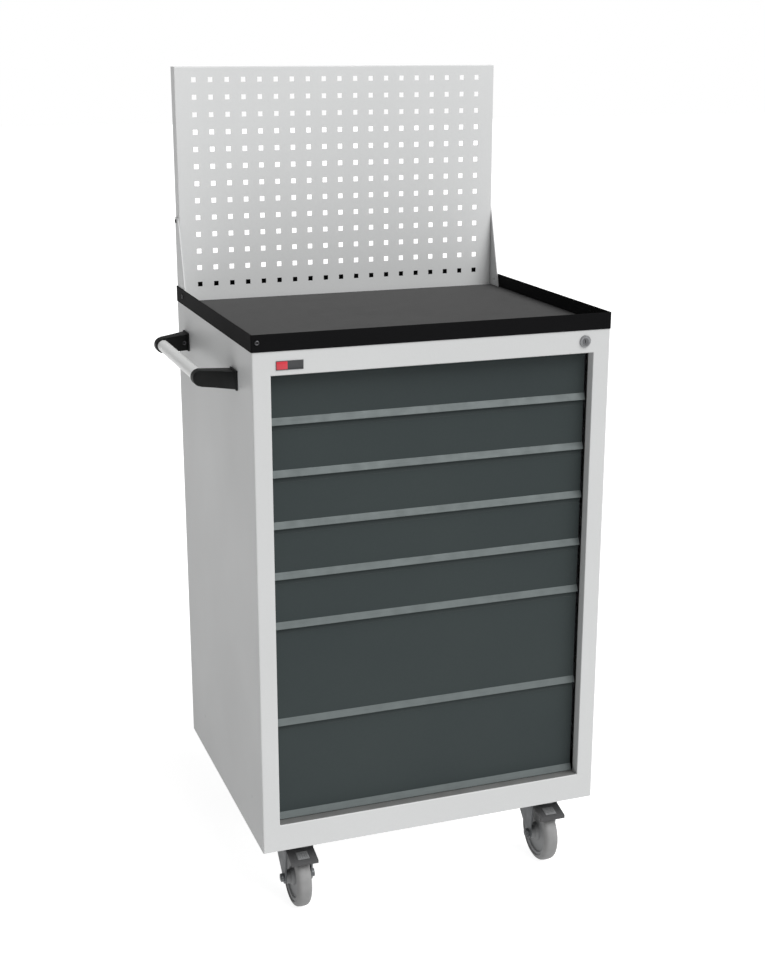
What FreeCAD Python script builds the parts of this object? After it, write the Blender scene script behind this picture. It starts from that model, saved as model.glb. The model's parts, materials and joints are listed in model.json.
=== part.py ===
"""Rolling tool chest: steel body, seven drawers on telescopic runners, top tray with a
perforated back panel, side push handle, front lock and four swivel castors.

Lengths are in millimetres and +Z is up.  Every piece is drawn from the cabinet datum, the
lower left front corner of the body (x to the right, y to the back, z up), and save() moves
it to the part's own frame: the origin on the floor, under the middle of the whole chest.
"""
import FreeCAD, Part
import math
import os

V = FreeCAD.Vector

# ---------------------------------------------------------------- driving dimensions
# Body shell
BODY_W = 717.0            # outside width
BODY_D = 610.0            # outside depth
BODY_H = 1000.0           # outside height, castors and tray not counted
SHEET = 1.5               # body sheet
BEND_R = 3.0              # outside radius of the long body bends
EDGE_R = 1.8              # outside radius of the small folds
STILE_W = 35.0            # front frame beside the drawers
HEADER_H = 45.0           # front frame above the drawers
SILL_H = 55.0             # front frame below the drawers
FRAME_RETURN = 12.0       # side return of the front frame
JAMB_DEPTH = 21.0         # fold beside the drawers
LIP_DEPTH = 24.0          # folds above and below the drawers
REAR_FLANGE = 25.0        # inward fold at the back of each side
BACK_SHEET = 1.0
BASE_SHEET = 2.0
BASE_FLANGE = 30.0
TOP_FLANGE = 15.0

# Drawers
SLOT_UNITS = [1, 1, 1, 1, 1, 2, 2]    # from the top, in units of drawer height
FRONT_SETBACK = 25.4      # drawer front behind the front frame
FRONT_DEPTH = 20.0        # folded depth of a drawer front
FRONT_SHEET = 1.2
SIDE_GAP = 4.0            # drawer front to jamb
TOP_GAP = 7.0             # drawer front to the slot above
GRIP_RISE = 16.0          # top of the grip above the bottom of the slot
GRIP_DROP = 2.6           # lower lip of the grip above the bottom of the slot
GRIP_REACH = 6.4          # how far the lower lip of the grip stands forward
GRIP_WALL = 1.8
BOX_SHEET = 1.0
BOX_RISE = 10.0           # drawer floor above the bottom of the slot
BOX_HEADROOM = 16.0       # drawer side below the top of the slot
BOX_REAR_GAP = 32.0       # drawer back to the back panel

# Telescopic runners
RUNNER_T = 12.7           # closed thickness of a runner
RUNNER_H = 45.0
RUNNER_SHEET = 1.2
RUNNER_RISE = 42.0        # middle of the runner above the bottom of the slot
RUNNER_BACKLASH = 0.3     # running clearance between members
MEMBER_GAP = 1.4          # between the webs of neighbouring members
FLANGE_SHORT = 2.5        # fixed member's flanges short of the drawer member's web
BALL_SPACE = 4.3          # gap that each ball strip fills
BALL_INSET = 0.5          # ball strip inside the flanges it runs between
BALL_SETBACK = 20.0       # ball strip short of the member's ends
RUNNER_OVERLAP = 30.0     # runner length less drawer travel
RUNNER_SETBACK = 1.6      # runner behind the drawer front's fold
UPRIGHT_W = 40.0
UPRIGHT_Y = [60.0, 460.0]             # front face of each inner upright

# Tray, mat and perforated panel
TRAY_OVERHANG = 1.0
TRAY_H = 32.0
TRAY_WALL = 2.0
REAR_UPSTAND = 8.0        # rear rim behind the panel above the rest of the rim
MAT_T = 3.0
MAT_GAP = 0.5
MAT_BACK = 8.0            # bare tray floor between the mat and the panel
RIM_SCREW_RISE = 17.6     # rim screws above the top of the body
RIM_SCREW_IN = 10.0       # end rim screws from the side of the body
RIM_SCREW_FORE = 23.0     # side rim screws in front of the panel
PANEL_H = 482.0
PANEL_SHEET = 1.2
PANEL_DEPTH = 30.0        # folded depth of the panel's sides
PANEL_TOP_FOLD = 15.0
PANEL_REAR_GAP = 4.0      # panel to the body's back
HOLE = 10.0               # square hole
HOLE_PITCH = 35.0
HOLE_MARGIN = 40.0        # least distance from a hole's middle to the panel's side
HOLE_LOW = 36.0           # middle of the lowest row above the foot of the panel
GUSSET_T = 2.0
GUSSET_REACH = 46.0       # in front of the panel
GUSSET_H = 176.0
GUSSET_TOE = 6.0
GUSSET_HEEL = 3.0         # top corner of the gusset behind the panel's face
BRACE_SCREW_IN = 8.0      # upper gusset screw from the panel's back edge
BRACE_SCREW_LOW = 8.0     # upper gusset screw below the gusset's top

# Side handle
HANDLE_LOW = 72.0         # tube axis below the top of the body
HANDLE_OUT = 59.5         # tube axis outside the body
HANDLE_Y = 126.5          # middle of the front foot
HANDLE_PITCH = 401.0      # foot to foot
TUBE_R = 12.0
NOSE_R = 15.5
NOSE_W = 24.5
NOSE_SHIFT = 31.8         # middle of the nose towards the middle of the handle
FOOT_W = 47.0
FOOT_H = 38.0
FOOT_T = 4.0
FOOT_R = 4.0
ARM_SINK = 0.5            # arm into the foot, so that they are one piece
ARM_INSET = 2.0
TUBE_FIT = 0.1
TUBE_SOCKET = 12.0
SEAT_WALL = 1.5           # boss round the arm screw's head
SEAT_DEPTH = 6.0
HEAD_FIT = 0.5            # room round the arm screw's head

# Lock
LOCK_IN = 54.0            # lock axis from the right side of the body
LOCK_RISE = 1.0           # lock axis above the middle of the header
BEZEL_R = 11.5
BEZEL_T = 3.0
BEZEL_EDGE = 1.0
PLUG_SETBACK = 0.8        # plug behind the bezel's face
LOCK_NUT_WALL = 3.0
LOCK_NUT_T = 5.0
BARREL_R = 9.5
BARREL_L = 22.0
PLUG_R = 6.5
PLUG_FIT = 0.05
KEY_SLOT = [1.6, 7.0, 4.0]            # width, height and depth
CAM_PIN_ORBIT = 15.0
CAM_PIN_R = 2.5
CAM_T = 2.0
CAM_RIM = 2.0             # cam outside the plug and round its pin
CAM_WEB = 8.0
CAM_SWING = 90.0          # degrees from unlocked to locked
BAR_T = 2.0
BAR_W = 14.0
BAR_SLOT_PLAY = 0.7       # pin to the sides of its slot
BAR_SLOT_RIM = 3.0
BAR_ARM_END = 4.0         # arm beyond the slot's blind end
BAR_ARM_GAP = 1.0         # cam to arm
BAR_PIN_PAST = 2.0        # pin beyond the arm
BAR_CLEAR = 0.3
BAR_TAB_REACH = 8.0
BAR_TAB_H = 12.0
BAR_FOOT = 7.0            # lower end of the bar above the sill

# Badge
BADGE_W = 52.0
BADGE_H = 17.0
BADGE_T = 1.2
BADGE_IN = 44.5
BADGE_LOW = 18.0
BADGE_R = 3.0
BADGE_EDGE = 0.4

# Castors
CASTOR_INSET_X = 86.0     # swivel axis from the side of the body
CASTOR_INSET_Y = 100.0    # swivel axis from the front or back of the body
TRAIL = 38.0              # wheel axis from swivel axis
REST_TURN = {"front_left": 0.0, "front_right": 0.0, "rear_left": 90.0, "rear_right": -90.0}
WHEEL_R = 62.5
WHEEL_HEADROOM = 35.0     # wheel's top below the body
TYRE_W = 32.0
TYRE_WALL = 12.0
TYRE_EDGE = 6.0
HUB_SETBACK = 3.0         # hub's face inside the tyre's
DISH_DEPTH = 5.0
DISH_RIM = 6.0
DISH_HUB_R = 18.0
BOSS_R = 13.0
BOSS_PLAY = 0.3           # wheel boss to fork leg
PLATE_X = 85.0
PLATE_Y = 105.0
PLATE_T = 3.0
PLATE_R = 8.0
BOLT_X = 60.0
BOLT_Y = 80.0
BOLT_R = 4.0
BOLT_FIT = 0.25
BOLT_HEAD_R = 6.5
BOLT_HEAD_T = 4.0
BOLT_NUT_T = 6.0
BOLT_END = 3.0            # bolt beyond its nut
RACE_R = 30.0
RACE_H = 6.0
SWIVEL_GAP = 0.4
CROWN_R = 33.0
CROWN_H = 11.6
CROWN_EDGE = 3.0
KING_R = 6.0
KING_NUT_WALL = 3.5
KING_END = 6.0            # king pin below the crown
RUN_FIT = 0.05
FORK_T = 3.0
FORK_SIDE = 10.0          # fork leg to tyre
LEG_FORE = 19.0           # leg in front of the wheel's axis
LEG_AFT = 34.0            # leg behind the swivel axis
LEG_SKIRT = 12.0          # upright edge of the leg at the back
LEG_SKIRT_FORE = 14.0     # and at the front
LEG_EYE_R = 13.0          # round end of the leg about the axle
AXLE_R = 5.0
AXLE_NUT_WALL = 3.5
AXLE_NUT_T = 6.0
AXLE_END = 1.0            # axle beyond its nut
PEDAL_PIN_R = 3.0
PEDAL_PIN_END = 1.5       # pin outside the fork legs
PEDAL_PIN_FORE = 12.0     # pin in front of the wheel's axis
PEDAL_PIN_LOW = 5.0       # pin below the fork's bridge
PEDAL_SWING = 15.0        # degrees from free to braked
PEDAL_T = 3.0
PEDAL_SETBACK = 4.0       # pedal's tip behind the body's front
PEDAL_HEEL = 8.5          # plate's back edge in front of the pin
PEDAL_HEEL_RISE = 2.0     # and above it
PEDAL_TIP_DROP = 8.0      # plate's front edge below the pin
PEDAL_SIDE = 1.0          # plate inside the outer faces of the fork
PEDAL_FRAME = 8.0         # dark frame beside the pad
PEDAL_FRAME_HEEL = 9.0
PEDAL_FRAME_TIP = 7.0
PEDAL_SKIRT = 4.0         # lip under the tip
PEDAL_SKIRT_T = 2.0
PAD_LIFT = 0.4            # pad above the frame
PEDAL_ARM_T = 3.0
PEDAL_EYE_R = 4.5
ARM_REACH = 4.0           # arm under the plate
SHOE_FORE = 7.0           # shoe's front in front of the plate's back edge
SHOE_T = 5.0
SHOE_DROP = 10.0          # blank shoe below the pin, before the tyre's hollow
SHOE_GAP = 0.3            # shoe to tyre when the pedal is down

# Screws
HEAD_R = 4.5
HEAD_T = 2.2
SHANK_R = 2.4
SHANK_FIT = 0.1
HEAD_EDGE = 1.0
ARM_SCREW_OUT = 7.5       # handle screw outside the bracket's foot
ARM_SCREW_L = 8.0
RIVET_LOW = 86.0          # lower rivets above the underside of the body
RIVET_HIGH = 80.0         # upper rivets below its top
RIVET_R = 3.2
RIVET_T = 1.0

# ---------------------------------------------------------------- derived places
HANDLE_REACH = HANDLE_OUT + NOSE_R
RIGHT_REACH = TRAY_OVERHANG + HEAD_T
LEFT = -(BODY_W + RIGHT_REACH - HANDLE_REACH) / 2.0
FRONT = -BODY_D / 2.0
CASTOR_H = 2 * WHEEL_R + WHEEL_HEADROOM
DATUM = V(LEFT, FRONT, CASTOR_H)

UNIT = (BODY_H - HEADER_H - SILL_H) / sum(SLOT_UNITS)
OPEN_X0 = STILE_W
OPEN_X1 = BODY_W - STILE_W
OPEN_Z0 = SILL_H
OPEN_Z1 = BODY_H - HEADER_H
BACK_Y = BODY_D - SHEET - BACK_SHEET              # inner face of the back panel
BOX_X0 = OPEN_X0 + RUNNER_T
BOX_X1 = OPEN_X1 - RUNNER_T
BOX_Y0 = FRONT_SETBACK + FRONT_DEPTH
BOX_Y1 = BACK_Y - BOX_REAR_GAP
RUNNER_Y0 = BOX_Y0 + RUNNER_SETBACK
RUNNER_Y1 = BOX_Y1
TRAVEL = RUNNER_Y1 - RUNNER_Y0 - RUNNER_OVERLAP
TRAY_FLOOR = BODY_H + TRAY_WALL
TRAY_IN = TRAY_WALL - TRAY_OVERHANG                # inner face of the rim, from the side
PANEL_X0 = TRAY_IN + GUSSET_T
PANEL_X1 = BODY_W - PANEL_X0
PANEL_Y1 = BODY_D - PANEL_REAR_GAP
PANEL_Y0 = PANEL_Y1 - PANEL_DEPTH
HANDLE_Z = BODY_H - HANDLE_LOW
LOCK_X = BODY_W - LOCK_IN
LOCK_Z = BODY_H - HEADER_H / 2 + LOCK_RISE
AXLE_Z = WHEEL_R - CASTOR_H                        # below the body
BOLT_HOLE_R = BOLT_R + BOLT_FIT
FORK_W = TYRE_W + 2 * (FORK_SIDE + FORK_T)
CROWN_TOP = -PLATE_T - RACE_H - SWIVEL_GAP
CROWN_LOW = CROWN_TOP - CROWN_H
FIXED_X1 = OPEN_X0 + RUNNER_T - RUNNER_SHEET - FLANGE_SHORT    # inner edge of the fixed member
MIDDLE_X0 = OPEN_X0 + RUNNER_SHEET + MEMBER_GAP
MIDDLE_X1 = BOX_X0 - RUNNER_SHEET - MEMBER_GAP
RAIL_X0 = MIDDLE_X0 + RUNNER_SHEET + MEMBER_GAP


# ---------------------------------------------------------------- shape helpers
def box(x0, x1, y0, y1, z0, z1):
    """Block between two corners."""
    return Part.makeBox(x1 - x0, y1 - y0, z1 - z0, V(x0, y0, z0))


def rod(axis, radius, centre, start, end):
    """Cylinder along x, y or z from start to end; centre gives its other two places."""
    if axis == "x":
        foot, way = V(start, centre[0], centre[1]), V(1, 0, 0)
    elif axis == "y":
        foot, way = V(centre[0], start, centre[1]), V(0, 1, 0)
    else:
        foot, way = V(centre[0], centre[1], start), V(0, 0, 1)
    return Part.makeCylinder(radius, end - start, foot, way)


def prism(axis, points, start, end):
    """Straight extrusion of an outline drawn in the plane across the axis."""
    if axis == "x":
        corners = [V(start, a, b) for a, b in points]
        way = V(end - start, 0, 0)
    elif axis == "y":
        corners = [V(a, start, b) for a, b in points]
        way = V(0, end - start, 0)
    else:
        corners = [V(a, b, start) for a, b in points]
        way = V(0, 0, end - start)
    return Part.Face(Part.makePolygon(corners + corners[:1])).extrude(way)


def edges_along(shape, axis, places, tolerance=1e-4):
    """Straight edges along an axis whose other two places are in the list."""
    found = []
    for edge in shape.Edges:
        span = edge.BoundBox
        low = {"x": span.XMin, "y": span.YMin, "z": span.ZMin}
        high = {"x": span.XMax, "y": span.YMax, "z": span.ZMax}
        others = [name for name in "xyz" if name != axis]
        if any(high[name] - low[name] > tolerance for name in others):
            continue
        spot = [low[name] for name in others]
        if any(abs(spot[0] - a) < tolerance and abs(spot[1] - b) < tolerance for a, b in places):
            found.append(edge)
    return found


def rounded(shape, radius, *groups):
    """Fillet the edges named by (axis, places) groups."""
    edges = []
    for axis, places in groups:
        edges += edges_along(shape, axis, places)
    return shape.makeFillet(radius, edges)


def join(shapes):
    """One solid from touching pieces."""
    first = shapes[0]
    return first.fuse(shapes[1:]).removeSplitter()


def cut(shape, tools):
    """Take every tool away from the shape."""
    return shape.cut(Part.makeCompound(tools))


def mirrored_x(shape):
    """The same piece on the other side of the cabinet's middle."""
    return shape.mirror(V(BODY_W / 2.0, 0, 0), V(1, 0, 0))


def save(name, *shapes):
    """Write the node's solids to parts/NAME.step in the part's own frame."""
    moved = []
    for shape in shapes:
        for solid in shape.Solids:
            piece = solid.copy()
            piece.translate(DATUM)
            moved.append(piece)
    node = moved[0] if len(moved) == 1 else Part.makeCompound(moved)
    node.exportStep(os.path.join("parts", name + ".step"))
    volume = sum(piece.Volume for piece in moved)
    valid = all(piece.isValid() for piece in moved)
    print("%-22s %3d solid(s)  %10.1f mm3  valid %s" % (name, len(moved), volume, valid))


# ---------------------------------------------------------------- body shell
def front_frame():
    """Welded frame round the drawers: stiles, header and sill with folded lips."""
    plate = box(0, BODY_W, 0, FRAME_RETURN, 0, BODY_H)
    hollow = box(SHEET, BODY_W - SHEET, SHEET, FRAME_RETURN + 1, -1, BODY_H + 1)
    deep = max(JAMB_DEPTH, LIP_DEPTH)
    folds = box(OPEN_X0 - SHEET, OPEN_X1 + SHEET, 0, deep, OPEN_Z0 - SHEET, OPEN_Z1 + SHEET)
    way_in = box(OPEN_X0, OPEN_X1, -1, deep + 1, OPEN_Z0, OPEN_Z1)
    lock_hole = rod("y", BARREL_R, (LOCK_X, LOCK_Z), -1, SHEET + 1)
    frame = cut(join([cut(plate, [hollow]), folds]), [way_in, lock_hole])
    frame = rounded(frame, BEND_R, ("z", [(0, 0), (BODY_W, 0)]))
    frame = rounded(
        frame,
        EDGE_R,
        ("z", [(OPEN_X0, 0), (OPEN_X1, 0)]),
        ("x", [(0, OPEN_Z0), (0, OPEN_Z1)]),
    )
    x0 = OPEN_X0 - SHEET - 1
    x1 = OPEN_X1 + SHEET + 1
    behind_jambs = box(x0, x1, JAMB_DEPTH, deep + 1, OPEN_Z0, OPEN_Z1)
    behind_lips = [
        box(x0, x1, LIP_DEPTH, deep + 1, OPEN_Z0 - SHEET - 1, OPEN_Z0),
        box(x0, x1, LIP_DEPTH, deep + 1, OPEN_Z1, OPEN_Z1 + SHEET + 1),
    ]
    return cut(frame, [behind_jambs] + behind_lips)


def left_side_panel():
    """Side sheet with an inward fold at the back."""
    side = box(0, SHEET, FRAME_RETURN, BODY_D, 0, BODY_H)
    fold = box(0, REAR_FLANGE, BODY_D - SHEET, BODY_D, 0, BODY_H)
    return rounded(join([side, fold]), BEND_R, ("z", [(0, BODY_D)]))


def back_panel():
    """Flat sheet inside the rear folds of the sides."""
    return box(SHEET, BODY_W - SHEET, BACK_Y, BACK_Y + BACK_SHEET, 0, BODY_H)


def top_panel():
    """Lid sheet under the tray, folded down at both sides."""
    lid = box(SHEET, BODY_W - SHEET, SHEET, BACK_Y, BODY_H - SHEET, BODY_H)
    fold = box(SHEET, 2 * SHEET, FRAME_RETURN, BACK_Y, BODY_H - TOP_FLANGE, BODY_H)
    return join([lid, fold, mirrored_x(fold)])


def castor_centres():
    """Swivel axes: front left, front right, rear left, rear right."""
    xs = [CASTOR_INSET_X, BODY_W - CASTOR_INSET_X]
    ys = [CASTOR_INSET_Y, BODY_D - CASTOR_INSET_Y]
    return [(x, y) for y in ys for x in xs]


def bolt_places():
    """Axes of the castor bolts."""
    places = []
    for cx, cy in castor_centres():
        for sx in (-0.5, 0.5):
            for sy in (-0.5, 0.5):
                places.append((cx + sx * BOLT_X, cy + sy * BOLT_Y))
    return places


def base_pan():
    """Thick floor pan that carries the castors."""
    floor = box(SHEET, BODY_W - SHEET, SHEET, BACK_Y, 0, BASE_SHEET)
    side = box(SHEET, SHEET + BASE_SHEET, FRAME_RETURN, BACK_Y, 0, BASE_FLANGE)
    front = box(SHEET, BODY_W - SHEET, SHEET, SHEET + BASE_SHEET, 0, BASE_FLANGE)
    back = box(SHEET, BODY_W - SHEET, BACK_Y - BASE_SHEET, BACK_Y, 0, BASE_FLANGE)
    holes = [rod("z", BOLT_HOLE_R, spot, -1, BASE_SHEET + 1) for spot in bolt_places()]
    return cut(join([floor, side, mirrored_x(side), front, back]), holes)


def uprights():
    """Channels inside the sides that the runners screw to."""
    z0 = BASE_FLANGE
    z1 = BODY_H - TOP_FLANGE
    pieces = []
    for y0 in UPRIGHT_Y:
        y1 = y0 + UPRIGHT_W
        web = box(OPEN_X0 - SHEET, OPEN_X0, y0, y1, z0, z1)
        front = box(SHEET, OPEN_X0, y0, y0 + SHEET, z0, z1)
        back = box(SHEET, OPEN_X0, y1 - SHEET, y1, z0, z1)
        channel = join([web, front, back])
        pieces += [channel, mirrored_x(channel)]
    return pieces


# ---------------------------------------------------------------- drawers
def slots():
    """Bottom and top of each drawer's slot, from the top drawer down."""
    levels = []
    top = OPEN_Z1
    for units in SLOT_UNITS:
        bottom = top - units * UNIT
        levels.append((bottom, top))
        top = bottom
    return levels


def drawer_front(bottom, top):
    """Folded front, open at the back where the drawer box meets it."""
    x0 = OPEN_X0 + SIDE_GAP
    x1 = OPEN_X1 - SIDE_GAP
    y0 = FRONT_SETBACK
    z0 = bottom + GRIP_RISE
    z1 = top - TOP_GAP
    block = box(x0, x1, y0, BOX_Y0, z0, z1)
    block = rounded(
        block,
        EDGE_R,
        ("z", [(x0, y0), (x1, y0)]),
        ("x", [(y0, z1)]),
    )
    t = FRONT_SHEET
    return cut(block, [box(x0 + t, x1 - t, y0 + t, BOX_Y0 + 1, z0 + t, z1 - t)])


def drawer_grip(bottom):
    """Full-width grip below the front: a flat leg under the fold and a forward lip."""
    y0 = FRONT_SETBACK
    top = bottom + GRIP_RISE
    low = bottom + GRIP_DROP
    wall = GRIP_WALL
    slope = GRIP_REACH / (top - low)
    lip_y = y0 - GRIP_REACH
    outline = [
        (y0, top),
        (lip_y, low),
        (lip_y + wall, low),
        (y0 + wall - slope * wall, top - wall),
        (BOX_Y0, top - wall),
        (BOX_Y0, top),
    ]
    grip = prism("x", outline, OPEN_X0 + SIDE_GAP, OPEN_X1 - SIDE_GAP)
    return rounded(grip, 0.6, ("x", [(lip_y, low), (lip_y + wall, low)]))


def drawer_box(bottom, top):
    """Open sheet-steel box behind the front."""
    z0 = bottom + BOX_RISE
    z1 = top - BOX_HEADROOM
    t = BOX_SHEET
    block = box(BOX_X0, BOX_X1, BOX_Y0, BOX_Y1, z0, z1)
    return cut(block, [box(BOX_X0 + t, BOX_X1 - t, BOX_Y0 + t, BOX_Y1 - t, z0 + t, z1 + 1)])


def runner_section():
    """Half heights and widths of the three nested runner members."""
    t = RUNNER_SHEET
    outer = RUNNER_H / 2.0
    middle = outer - t - BALL_SPACE
    inner = middle - t - BALL_SPACE
    return outer, middle, inner


def channel(x0, x1, web_side, half, middle_z):
    """C-shaped member along y with its web on one side."""
    t = RUNNER_SHEET
    web = box(x0, x0 + t, RUNNER_Y0, RUNNER_Y1, middle_z - half, middle_z + half)
    if web_side == "inner":
        web = box(x1 - t, x1, RUNNER_Y0, RUNNER_Y1, middle_z - half, middle_z + half)
    low = box(x0, x1, RUNNER_Y0, RUNNER_Y1, middle_z - half, middle_z - half + t)
    high = box(x0, x1, RUNNER_Y0, RUNNER_Y1, middle_z + half - t, middle_z + half)
    return join([web, low, high])


def fixed_member(middle_z):
    """Runner member on the uprights."""
    outer, _, _ = runner_section()
    return channel(OPEN_X0, FIXED_X1, "outer", outer, middle_z)


def middle_member(middle_z):
    """Floating runner member with its four ball strips."""
    _, middle, inner = runner_section()
    member = channel(MIDDLE_X0, MIDDLE_X1, "outer", middle, middle_z)
    y0 = RUNNER_Y0 + BALL_SETBACK
    y1 = RUNNER_Y1 - BALL_SETBACK
    races = [
        (middle, MIDDLE_X0 + BALL_INSET, FIXED_X1 - BALL_INSET),
        (inner + RUNNER_BACKLASH, RAIL_X0 + BALL_INSET, MIDDLE_X1 - BALL_INSET),
    ]
    strips = []
    for low, x0, x1 in races:
        high = low + BALL_SPACE - RUNNER_BACKLASH
        strips.append(box(x0, x1, y0, y1, middle_z + low, middle_z + high))
        strips.append(box(x0, x1, y0, y1, middle_z - high, middle_z - low))
    return [member] + strips


def drawer_member(middle_z):
    """Runner member on the drawer's side."""
    _, _, inner = runner_section()
    return channel(RAIL_X0, BOX_X0, "inner", inner, middle_z)


def save_drawers():
    fixed = []
    for number, (bottom, top) in enumerate(slots(), start=1):
        middle_z = bottom + RUNNER_RISE
        left_fixed = fixed_member(middle_z)
        fixed += [left_fixed, mirrored_x(left_fixed)]
        floating = middle_member(middle_z)
        floating += [mirrored_x(piece) for piece in floating]
        rail = drawer_member(middle_z)
        save("drawer_%d_front" % number, drawer_front(bottom, top))
        save("drawer_%d_grip" % number, drawer_grip(bottom))
        save("drawer_%d_box" % number, drawer_box(bottom, top), rail, mirrored_x(rail))
        save("drawer_%d_slides" % number, *floating)
    save("fixed_runners", *fixed)


# ---------------------------------------------------------------- tray and panel
def top_tray():
    """Shallow tray that caps the body, with a higher rim behind the panel."""
    x0 = -TRAY_OVERHANG
    x1 = BODY_W + TRAY_OVERHANG
    y0 = -TRAY_OVERHANG
    y1 = BODY_D + TRAY_OVERHANG
    z1 = BODY_H + TRAY_H
    w = TRAY_WALL
    block = box(x0, x1, y0, y1, BODY_H, z1)
    block = rounded(block, BEND_R, ("z", [(x0, y0), (x1, y0), (x0, y1), (x1, y1)]))
    upstand = box(PANEL_X0, PANEL_X1, y1 - w, y1, z1 - w, z1 + REAR_UPSTAND)
    inside = box(x0 + w, x1 - w, y0 + w, y1 - w, TRAY_FLOOR, z1 + 1)
    corners = [(x, y) for x in (x0 + w, x1 - w) for y in (y0 + w, y1 - w)]
    inside = rounded(inside, BEND_R - w, ("z", corners))
    ways = [screw_way(place) for place in rim_screw_places()]
    return join([cut(block, [inside] + ways), upstand])


def tray_mat():
    """Rubber mat on the tray floor, notched round the gussets."""
    x0 = TRAY_IN + MAT_GAP
    y0 = TRAY_IN + MAT_GAP
    y1 = PANEL_Y0 - MAT_BACK
    mat = box(x0, BODY_W - x0, y0, y1, TRAY_FLOOR, TRAY_FLOOR + MAT_T)
    notch = box(x0 - 1, PANEL_X0 + MAT_GAP, PANEL_Y0 - GUSSET_REACH - MAT_GAP, y1 + 1,
                TRAY_FLOOR - 1, TRAY_FLOOR + MAT_T + 1)
    return cut(mat, [notch, mirrored_x(notch)])


def hole_grid():
    """Middles of the square holes, centred on the panel."""
    columns = int((PANEL_X1 - PANEL_X0 - 2 * HOLE_MARGIN) / HOLE_PITCH) + 1
    rows = int((PANEL_H - HOLE_LOW - HOLE_PITCH / 2.0) / HOLE_PITCH) + 1
    first_x = BODY_W / 2.0 - (columns - 1) * HOLE_PITCH / 2.0
    first_z = TRAY_FLOOR + HOLE_LOW
    return [(first_x + i * HOLE_PITCH, first_z + j * HOLE_PITCH)
            for i in range(columns) for j in range(rows)]


def perforated_panel():
    """Upright panel with square holes, folded back at both sides and the top."""
    t = PANEL_SHEET
    z0 = TRAY_FLOOR
    z1 = z0 + PANEL_H
    block = box(PANEL_X0, PANEL_X1, PANEL_Y0, PANEL_Y1, z0, z1)
    block = rounded(
        block,
        EDGE_R,
        ("z", [(PANEL_X0, PANEL_Y0), (PANEL_X1, PANEL_Y0)]),
        ("x", [(PANEL_Y0, z1)]),
    )
    inside = box(PANEL_X0 + t, PANEL_X1 - t, PANEL_Y0 + t, PANEL_Y1 + 1, z0 - 1, z1 - t)
    top_relief = box(PANEL_X0 + t, PANEL_X1 - t, PANEL_Y0 + PANEL_TOP_FOLD, PANEL_Y1 + 1,
                     z0 - 1, z1 + 1)
    half = HOLE / 2.0
    holes = [box(x - half, x + half, PANEL_Y0 - 1, PANEL_Y0 + t + 1, z - half, z + half)
             for x, z in hole_grid()]
    return cut(block, [inside, top_relief] + holes + [screw_way(place) for place in brace_screw_places()])


def gusset():
    """Flat brace between the tray rim and the panel's side fold."""
    z0 = TRAY_FLOOR
    y_toe = PANEL_Y0 - GUSSET_REACH
    outline = [
        (y_toe, z0),
        (PANEL_Y1, z0),
        (PANEL_Y1, z0 + GUSSET_H),
        (PANEL_Y0 + GUSSET_HEEL, z0 + GUSSET_H),
        (y_toe, z0 + GUSSET_TOE),
    ]
    ways = [screw_way(place) for place in rim_screw_places() + brace_screw_places()]
    return cut(prism("x", outline, TRAY_IN, PANEL_X0), ways)


# ---------------------------------------------------------------- side handle
def handle_bracket():
    """Front bracket: foot on the side, tapered arm and a round nose for the tube."""
    y0 = HANDLE_Y - FOOT_W / 2.0
    y1 = HANDLE_Y + FOOT_W / 2.0
    low = HANDLE_Z - FOOT_H / 2.0
    high = HANDLE_Z + FOOT_H / 2.0
    foot = box(-FOOT_T, 0, y0, y1, low, high)
    foot = rounded(foot, FOOT_R, ("x", [(y0, low), (y0, high), (y1, low), (y1, high)]))
    nose_y = HANDLE_Y + NOSE_SHIFT
    n0 = nose_y - NOSE_W / 2.0
    n1 = nose_y + NOSE_W / 2.0
    root_x = ARM_SINK - FOOT_T
    tip_x = -HANDLE_OUT
    root_half = FOOT_H / 2.0 - ARM_INSET
    sections = []
    ends = [(root_x, y0 + ARM_INSET, y1 - ARM_INSET, root_half), (tip_x, n0, n1, NOSE_R)]
    for x, a, b, half in ends:
        corners = [V(x, a, HANDLE_Z - half), V(x, b, HANDLE_Z - half),
                   V(x, b, HANDLE_Z + half), V(x, a, HANDLE_Z + half)]
        sections.append(Part.makePolygon(corners + corners[:1]))
    arm = Part.makeLoft(sections, True, True)
    nose = rod("y", NOSE_R, (tip_x, HANDLE_Z), n0, n1)
    socket = rod("y", TUBE_R + TUBE_FIT, (tip_x, HANDLE_Z), n1 - TUBE_SOCKET, n1 + 1)
    seat_x = -FOOT_T - ARM_SCREW_OUT
    seat = rod("y", HEAD_R + SEAT_WALL, (seat_x, HANDLE_Z), y1 - SEAT_DEPTH, y1)
    head_way = rod("y", HEAD_R + HEAD_FIT, (seat_x, HANDLE_Z), y1, y1 + NOSE_W)
    return cut(join([foot, arm, nose, seat]), [socket, head_way, screw_way(arm_screw_place())])


def mirrored_y(shape):
    """The same piece at the other end of the handle."""
    return shape.mirror(V(0, HANDLE_Y + HANDLE_PITCH / 2.0, 0), V(0, 1, 0))


def handle_tube():
    """Steel tube between the two noses."""
    start = HANDLE_Y + NOSE_SHIFT + NOSE_W / 2.0 - TUBE_SOCKET
    end = 2 * HANDLE_Y + HANDLE_PITCH - start
    outer = rod("y", TUBE_R, (-HANDLE_OUT, HANDLE_Z), start, end)
    inner = rod("y", TUBE_R - SHEET, (-HANDLE_OUT, HANDLE_Z), start - 1, end + 1)
    return cut(outer, [inner])


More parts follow.
